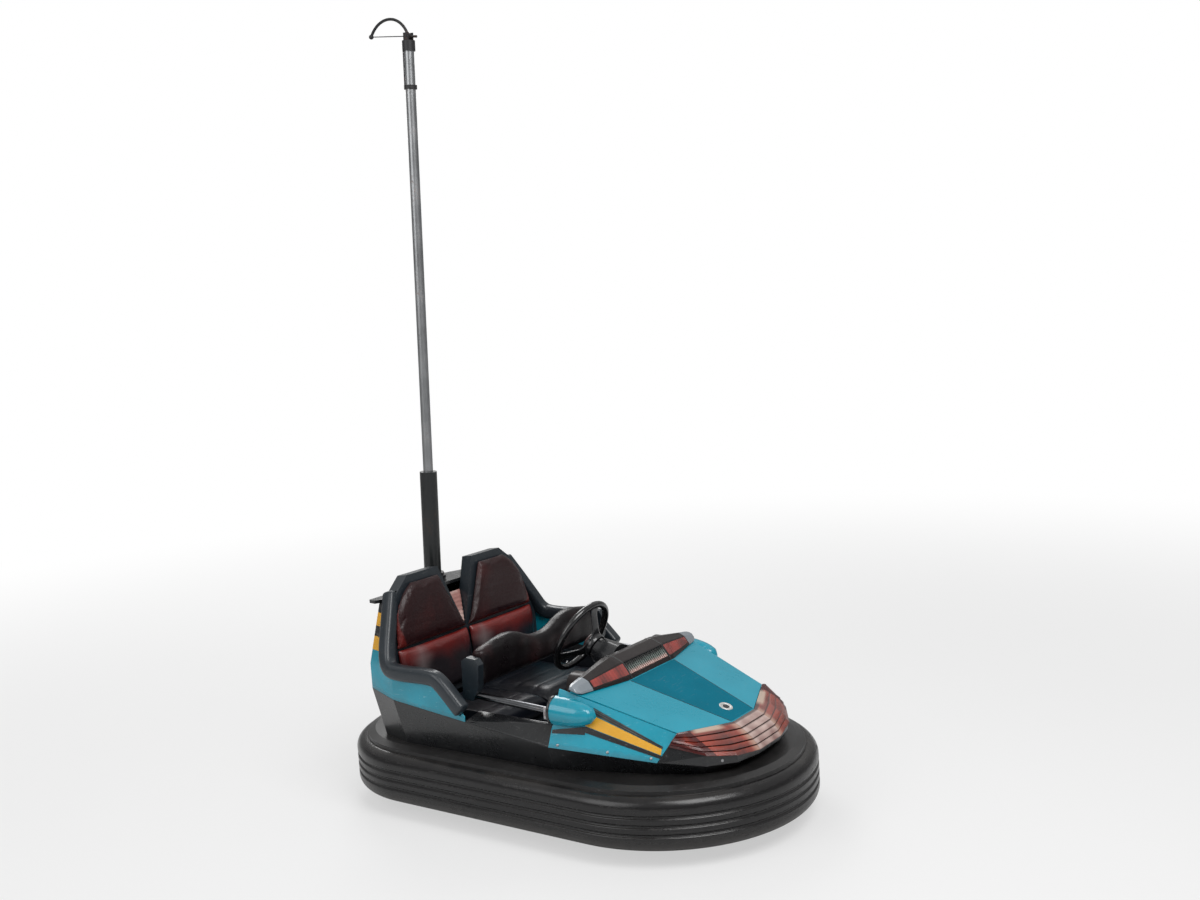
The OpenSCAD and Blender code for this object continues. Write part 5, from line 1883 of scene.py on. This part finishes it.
@dataclass
class Seats(Assembly):
    """Bench, backs with headrests, shell and side mouldings.

    Attributes:
        rake: Degrees that the back leans.
        origin: Foot of the back's front face.
        foot_z: Height of a back pad's foot.
        head_z: Height of a headrest's head.
        crowns: Heights of the crowns of headrest and back pad.
        sunk: Depth of a pad's middle sheet behind the front face.
        seam_z: Height of the seam between back and headrest.
        seam_half: Half of the lap of the two pads at the seam.
        outer: Half widths and heights of a back's outer side.
        inner: The same of its inner side.
        bolster: Middle line of a side moulding.
        bolster_half: Half thickness and half height of its section.
        valley: Heights of the wedge between the headrests above the seam.
        valley_lean: How much the wedge leans back for its height.
        valley_top: Height and half width of the gap between the headrests at its top.
        valley_sunk: Depth of the wedge's foot behind the front face.
        bench_low: Rear inner corner of a bench half.
        bench_high: Its front outer corner.
        bench_z: Height of its middle sheet.
    """

    rake: float = 7.0
    origin: tuple = (-0.556, 0.0, 0.402)
    foot_z: float = 0.420
    head_z: float = 0.906
    crowns: tuple = (0.020, 0.022)
    sunk: float = 0.014
    seam_z: float = 0.646
    seam_half: float = 0.0015
    outer: tuple = ((0.404, 0.418), (0.404, 0.470), (0.444, 0.530), (0.444, 0.646), (0.418, 0.790),
                    (0.366, 0.862), (0.306, 0.904))
    inner: tuple = ((0.000, 0.418), (0.000, 0.646), (0.006, 0.652), (0.131, 0.904))
    bolster: tuple = ((-0.676, 0.368, 0.868), (-0.644, 0.424, 0.770), (-0.612, 0.484, 0.662),
                      (-0.590, 0.508, 0.606), (-0.548, 0.522, 0.584), (-0.340, 0.524, 0.592),
                      (-0.300, 0.525, 0.578), (-0.190, 0.526, 0.470))
    bolster_half: tuple = (0.028, 0.031)
    valley: tuple = (0.016, 0.152)
    valley_lean: float = 0.3
    valley_top: tuple = (0.927, 0.112)
    valley_sunk: float = 0.036
    bench_low: tuple = (-0.574, 0.003)
    bench_high: tuple = (-0.1775, 0.4165)
    bench_z: float = 0.350

    def here(self) -> Frame:
        """Frame of the seat back: X forwards out of it and Z up along it."""
        return Frame.tilted(self.origin, -self.rake)

    def up_along(self, z: Array) -> Array:
        """Distance along the back for a height above the floor."""
        return (z - self.origin[2]) / math.cos(math.radians(self.rake))

    def back_pad(self, low: float, high: float, side: Side, front: float) -> Surface:
        """Padded panel between two heights, whose sides follow the outlines.

        Args:
            low: Height of its foot above the floor.
            high: Height of its head.
            side: Side of the car.
            front: Height of its crown.

        Returns:
            The panel.
        """
        frame = self.here()
        outer, inner = (rounded(np.array(line), 60, 2) for line in (self.outer, self.inner))

        def sheet(u: Array, v: Array) -> Array:
            """Height by v, and half width between the inner and the outer outline by u.

            Args:
                u: Place across the pad, from -1 to 1.
                v: Place up the pad, from -1 to 1.

            Returns:
                Points of the middle sheet.
            """
            z = low + (high - low) * (v + 1) / 2
            a, b = (np.interp(z, line[:, 1], line[:, 0]) for line in (inner, outer))
            y = side.value * (a + (b - a) * (u + 1) / 2)
            return frame.at(np.stack([np.full_like(y, -self.sunk), y, self.up_along(z)], axis=-1))

        def dip(u: Array, v: Array) -> Array:
            """Piping line inside the edge, and a soft hollow in the middle."""
            edge = np.maximum(np.abs(u), np.abs(v))
            return 0.002 * np.exp(-((edge - 0.8) / 0.018) ** 2) + 0.004 * np.exp(-(u ** 2 + v ** 2) * 2)

        return Pillow(sheet, front, 0.009, frame.x, 0.012, 5.0).surface(dip)

    def valley_pad(self) -> Surface:
        """Wedge between the headrests, leaning back, with sewn ribs across it.

        Returns:
            The wedge.
        """
        frame = self.here()
        low, high = self.valley
        top, wide = self.valley_top
        height = top - self.seam_z

        def sheet(u: Array, v: Array) -> Array:
            """Rises by v and widens with the gap between the headrests.

            Args:
                u: Place across the wedge, from -1 to 1.
                v: Place up the wedge, from -1 to 1.

            Returns:
                Points of the middle sheet.
            """
            up = low + (high - low) * (v + 1) / 2
            half = (up - 0.006) * wide / height - 0.002
            depth = -self.valley_sunk - (up - low) * self.valley_lean
            return frame.at(np.stack([depth, u * half, self.up_along(self.seam_z + up)], axis=-1))

        def dip(u: Array, v: Array) -> Array:
            """Ribs: a cosine of eight waves up the pad."""
            return 0.0022 * (0.5 + 0.5 * np.cos(8 * np.pi * (v + 1)))

        return Pillow(sheet, 0.013, 0.012, frame.x, 0.01, 5.0).surface(dip)

    def cushion(self, side: Side) -> Surface:
        """Half of the bench: crowned, with sewn channels across it.

        Args:
            side: Side of the car.

        Returns:
            The cushion.
        """
        low, high = self.bench_low, self.bench_high

        def sheet(u: Array, v: Array) -> Array:
            """Level sheet: u across the car and v forwards."""
            y = side.value * (low[1] + (high[1] - low[1]) * (u + 1) / 2)
            x = low[0] + (high[0] - low[0]) * (v + 1) / 2
            return np.stack([x, y, np.full_like(x, self.bench_z)], axis=-1)

        def dip(u: Array, v: Array) -> Array:
            """Three sewn channels across the seat and a hollow where a rider sits."""
            lines = sum(np.exp(-((v - c) / 0.022) ** 2) for c in (-0.5, 0.0, 0.5))
            return 0.005 * lines * (np.abs(u) < 0.86) + 0.008 * np.exp(-((u * 1.2) ** 2 + (v * 1.2) ** 2))

        return Pillow(sheet, 0.050, 0.052, np.array([0, 0, 1.0]), 0.008, 8.0).surface(dip)

    def side_moulding(self) -> Surface:
        """Moulding from the headrest down and forwards.

        Each point is path + a * w + b * up, drawn in near the ends by the square root of 1 - d^2.

        Returns:
            Both mouldings.
        """
        path = rounded(np.array(self.bolster), 150, 3)
        along = unit(np.gradient(path, axis=0))
        up = unit(np.cross(along, np.array([0, 1.0, 0])))
        w = np.cross(up, along)
        s = superellipse(*self.bolster_half, 0.62, 40)
        end = np.sqrt(1 - np.clip(np.abs(np.linspace(-1, 1, 150)) - 0.965, 0, None) ** 2 / 0.035 ** 2 * 0.8)
        p = path[:, None] + (s[None, :, :1] * w[:, None] + s[None, :, 1:] * up[:, None]) * end[:, None, None]
        return Surface.grid(p, False, True, True).both()

    def build(self) -> None:
        """Makes and dresses the pieces."""
        self.skin("seat_shell", 0.016, "moulding_grey", Body.CAR, "grey_plastic")
        moulding = self.side_moulding().mesh("side_mouldings", 50)
        self.dress(moulding, "moulding_grey", Body.CAR, "grey_plastic", "bolsters")
        for side in Side:
            tag = side.name.lower()
            head = self.back_pad(self.seam_z - self.seam_half, self.head_z, side, self.crowns[0])
            head = inflate(head.mesh(f"headrest_pad_{tag}", 75), 0.006)
            self.dress(head, "headrest_vinyl", Body.CAR, "vinyl", "seat_back")
            low = self.back_pad(self.foot_z, self.seam_z + self.seam_half, side, self.crowns[1])
            low = inflate(low.mesh(f"back_pad_{tag}", 75), 0.006)
            self.dress(low, "back_vinyl", Body.CAR, "vinyl", "seat_back")
            bench = inflate(self.cushion(side).mesh(f"bench_cushion_{tag}", 75), 0.005)
            self.dress(bench, "bench_vinyl", Body.CAR, "black_vinyl", "seat_cushion")
        valley = self.valley_pad().mesh("valley_cover", 75)
        self.dress(valley, "valley_pink", Body.CAR, "vinyl", "valley_pad")


@dataclass
class LapBar(Assembly):
    """Chrome side tubes, end brackets and the wavy pad.

    Attributes:
        bar_x: Station of the pad's middle.
        low: Height of the pad's foot.
        half: Half length of the pad.
        thick: Thickness of the pad.
        crest: Half widths and heights of its upper edge.
    """

    bar_x: float = -0.216
    low: float = 0.533
    half: float = 0.4035
    thick: float = 0.070
    crest: tuple = ((0.0, 0.655), (0.070, 0.664), (0.160, 0.704),
                    (0.240, 0.708), (0.330, 0.690), (0.404, 0.672))

    def pad(self) -> Surface:
        """Pad: its height runs from the foot to a wavy crest, and its thickness follows a flattened oval.

        Returns:
            The pad.
        """
        y = np.linspace(-1, 1, 180)
        end = (1 - np.abs(y) ** 40) ** 0.5
        k = np.array(self.crest)
        fine = rounded(np.vstack([k[::-1] * [-1, 1], k[1:]]), 400, 2)
        top = np.interp(y * self.half, fine[:, 0], fine[:, 1]) - 0.001
        s = superellipse(1.0, 1.0, 0.55, 72)
        mid, half = (top + self.low) / 2, (top - self.low) / 2
        puff = 1 + 0.02 * np.sin(y * 9 * np.pi)
        x = self.bar_x + self.thick / 2 * s[None, :, 0] * (end * puff * 0.98)[:, None]
        z = mid[:, None] + half[:, None] * s[None, :, 1] * (0.9 + 0.1 * end)[:, None]
        p = np.stack([x, np.broadcast_to((y * self.half)[:, None], x.shape), z], axis=-1)
        return Surface.grid(p, False, True, True)

    def build(self) -> None:
        """Makes and dresses the pieces."""
        pad = inflate(self.pad().mesh("lap_pad_cover", 75), 0.004)
        self.dress(pad, "pad_black", Body.LAP_BAR, "black_vinyl", "lap_pad")
        self.skin("lap_brackets", 0.006, "moulding_grey", Body.LAP_BAR, "grey_plastic")
        self.paint_node("lap_frame", "lap_steel")
        self.skin("lap_pivots", 0.0015, "bolt_steel", Body.CAR, "bare_steel", 40)


@dataclass
class RearBody(Assembly):
    """Sills, quarters, tail, its bands and lamps, and the deck round the mast.

    Attributes:
        tail: Stations and half widths of the tail's corners.
        lamp_low: Height of the lamps' foot.
        lamp_high: Height of their head.
        shoulder: Height above which the tail leans in.
        lean: How much it leans forwards and inwards for its height.
        round_from: Half width inside which the lean inwards fades.
    """

    tail: tuple = ((-0.795, 0.345), (-0.845, 0.210), (-0.862, 0.060))
    lamp_low: float = 0.511
    lamp_high: float = 0.624
    shoulder: float = 0.590
    lean: tuple = (0.12, 0.34)
    round_from: float = 0.2

    def lamp_edge(self, z: float) -> Array:
        """Corners of the tail at a height: above the shoulder it leans forwards and inwards.

        Args:
            z: The height.

        Returns:
            The corners from left to right.
        """
        over = max(0.0, z - self.shoulder)
        ahead, inwards = self.lean
        half = np.array([(x + ahead * over, y - inwards * over * min(1.0, y / self.round_from), z)
                         for x, y in self.tail])
        return np.vstack([half, half[::-1] * [1, -1, 1]])

    def build(self) -> None:
        """Makes and dresses the pieces."""
        self.skin("sills", 0.0016, "body_black", Body.CAR, "blue_plastic")
        self.skin("quarters", 0.0018, "flank_blue", Body.CAR, "blue_plastic")
        self.skin("rear_body", 0.0018, "body_black", Body.CAR, "black_plastic")
        self.skin("rear_stripes", 0.001, "tail_bands", Body.CAR, "yellow_plastic")
        lens = ribbed_lens(self.lamp_edge(self.lamp_low), self.lamp_edge(self.lamp_high), 0.003, 4, 0.0)
        self.dress(lens.mesh("tail_lamps", 24), "tail_lens", Body.CAR, "red_lens", "rear_lamps")
        self.skin("rear_deck", 0.0025, "body_black", Body.CAR, "black_plastic")


@dataclass
class Painted(Assembly):
    """Solids that show as they are.

    Attributes:
        finishes: Each solid with its finish.
    """

    finishes: tuple = ()

    def build(self) -> None:
        """Gives every solid its finish."""
        for node, finish in self.finishes:
            self.paint_node(node, finish)


@dataclass
class Mast(Painted):
    """Socket, sleeve, tube, head and bow."""

    finishes: tuple = (
        ("mast_socket", "frame_paint"), ("mast_sleeve", "sleeve_paint"), ("mast_tube", "mast_steel"),
        ("collector_head", "frame_paint"), ("collector_bow", "frame_paint"),
    )


@dataclass
class RunningGear(Painted):
    """Chassis, axle, turret, motor, wheels and brush."""

    finishes: tuple = (
        ("chassis", "frame_paint"), ("slew_ring", "bare_steel"), ("rear_axle", "frame_paint"),
        ("contact_brush", "carbon"), ("turret", "frame_paint"), ("drive_motor", "sleeve_paint"),
        ("drive_hub", "bare_steel"), ("rear_hub_left", "bare_steel"), ("rear_hub_right", "bare_steel"),
        ("drive_tyre", "tyre_rubber"), ("rear_tyre_left", "tyre_rubber"), ("rear_tyre_right", "tyre_rubber"),
    )


@dataclass
class Studio:
    """Floor, lamps, world and the camera at the photograph's viewpoint.

    Attributes:
        paint: The finishes.
        stand: Place of the camera.
        forward: Direction it looks in.
        up: Its upward direction.
        focal_px: Focal length in pixels of the photograph.
        width_px: Width of the photograph.
        air: Strength of the world's light.
        gloss: Its strength in reflections.
        aim: Point that the lamps face.
        lamps: Name, place, size and power of each lamp.
    """

    paint: Paintbox
    stand: tuple = (3.1801, -4.2693, 2.0345)
    forward: tuple = (-0.5737370, 0.8107464, -0.1162586)
    up: tuple = (-0.0162248, 0.1306668, 0.9912936)
    focal_px: float = 1340.0
    width_px: float = 1200.0
    air: float = 0.40
    gloss: float = 0.50
    aim: tuple = (0, 0, 0.6)
    lamps: tuple = (("key", (3.5, -1.5, 5.5), 3.5, 220), ("fill", (-1.5, -5.5, 4.0), 4.0, 105),
                    ("rim", (-4.0, 3.5, 4.5), 3.0, 130))

    def set_up(
        self, data: bpy.types.ID, x: Array, y: Array, z: Array, at: Sequence[float]
    ) -> bpy.types.Object:
        """Links a camera or lamp whose matrix has its axes and its place as columns.

        Args:
            data: The camera or lamp.
            x: Its axis to the right.
            y: Its axis upwards.
            z: Its axis backwards.
            at: Its place.

        Returns:
            The object.
        """
        obj = linked(data.name, data)
        world = np.eye(4)
        world[:3] = np.stack([x, y, z, at], axis=1)
        obj.matrix_world = Matrix(world.tolist())
        return obj

    def camera(self) -> None:
        """Places the camera, whose lens is the sensor's width times the focal length over the width."""
        f, u = np.array(self.forward), np.array(self.up)
        data = bpy.data.cameras.new("viewpoint")
        data.sensor_width = 36.0
        data.lens = 36.0 * self.focal_px / self.width_px
        bpy.context.scene.camera = self.set_up(data, unit(np.cross(f, u)), unit(u), -unit(f), self.stand)

    def lamp(self, name: str, place: Sequence[float], size: float, power: float) -> None:
        """Soft square lamp that faces the car's middle.

        Args:
            name: Name of the lamp.
            place: Its place.
            size: Length of its sides.
            power: Its power in watts.
        """
        data = bpy.data.lights.new(name, "AREA")
        data.energy, data.size = power, size
        z = unit(np.array(place, float) - np.array(self.aim))
        x = unit(np.cross([0, 0, 1.0], z))
        self.set_up(data, x, np.cross(z, x), z, place)

    def floor(self) -> None:
        """Pale sheet that curves up into a backdrop on every side: a flat disc with a swept rim."""
        t = np.linspace(0, 2 * np.pi, 96, endpoint=False)
        wall = np.linspace(0.1, np.pi / 2, 14)
        r = np.concatenate([np.linspace(0.02, 14, 30), 14 + 12 * np.sin(wall)])
        z = np.concatenate([np.zeros(30), 12 - 12 * np.cos(wall)])
        height = np.broadcast_to(z[:, None], (len(z), len(t)))
        p = np.stack([r[:, None] * np.cos(t), r[:, None] * np.sin(t), height], -1)
        obj = Surface.grid(p, False, True, False).mesh("studio_floor", 180)
        if obj.data.polygons[0].normal.z < 0:
            obj.data.flip_normals()
        obj.data.materials.append(self.paint["studio_floor"])

    def world(self) -> None:
        """White air, whose strength differs for reflections and for what the camera sees."""
        world = bpy.data.worlds.new("studio_air")
        g = Graph("studio_air", world)
        white = (1.0, 1.0, 1.0, 1.0)
        shade = g.add("ShaderNodeBackground", None, {"Color": white, "Strength": self.air})
        for kind, strength in (("Is Glossy Ray", self.gloss), ("Is Camera Ray", 1.0)):
            ray = g.add("ShaderNodeLightPath", out=kind)
            sky = g.add("ShaderNodeBackground", None, {"Color": white, "Strength": strength})
            shade = g.add("ShaderNodeMixShader", None, {0: ray, 1: shade, 2: sky})
        g.node("ShaderNodeOutputWorld", None, {0: shade})
        bpy.context.scene.world = world

    def build(self) -> None:
        """Makes the stage, the light and the camera."""
        self.camera()
        self.floor()
        for lamp in self.lamps:
            self.lamp(*lamp)
        self.world()
        bpy.context.scene.view_settings.view_transform = "Standard"


def main() -> None:
    """Builds the car round the frame."""
    logging.basicConfig(level=logging.INFO, format="%(name)s: %(message)s")
    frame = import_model()
    paint = Paintbox()
    Studio(paint).build()
    kinds = (RubberRing, FrontBody, Cowl, Cabin, SteeringWheel, Seats, LapBar, RearBody, Mast, RunningGear)
    for kind in kinds:
        kind(frame, paint).build()
        log.info("built %s", kind.__name__)


if __name__ == "__main__":
    main()
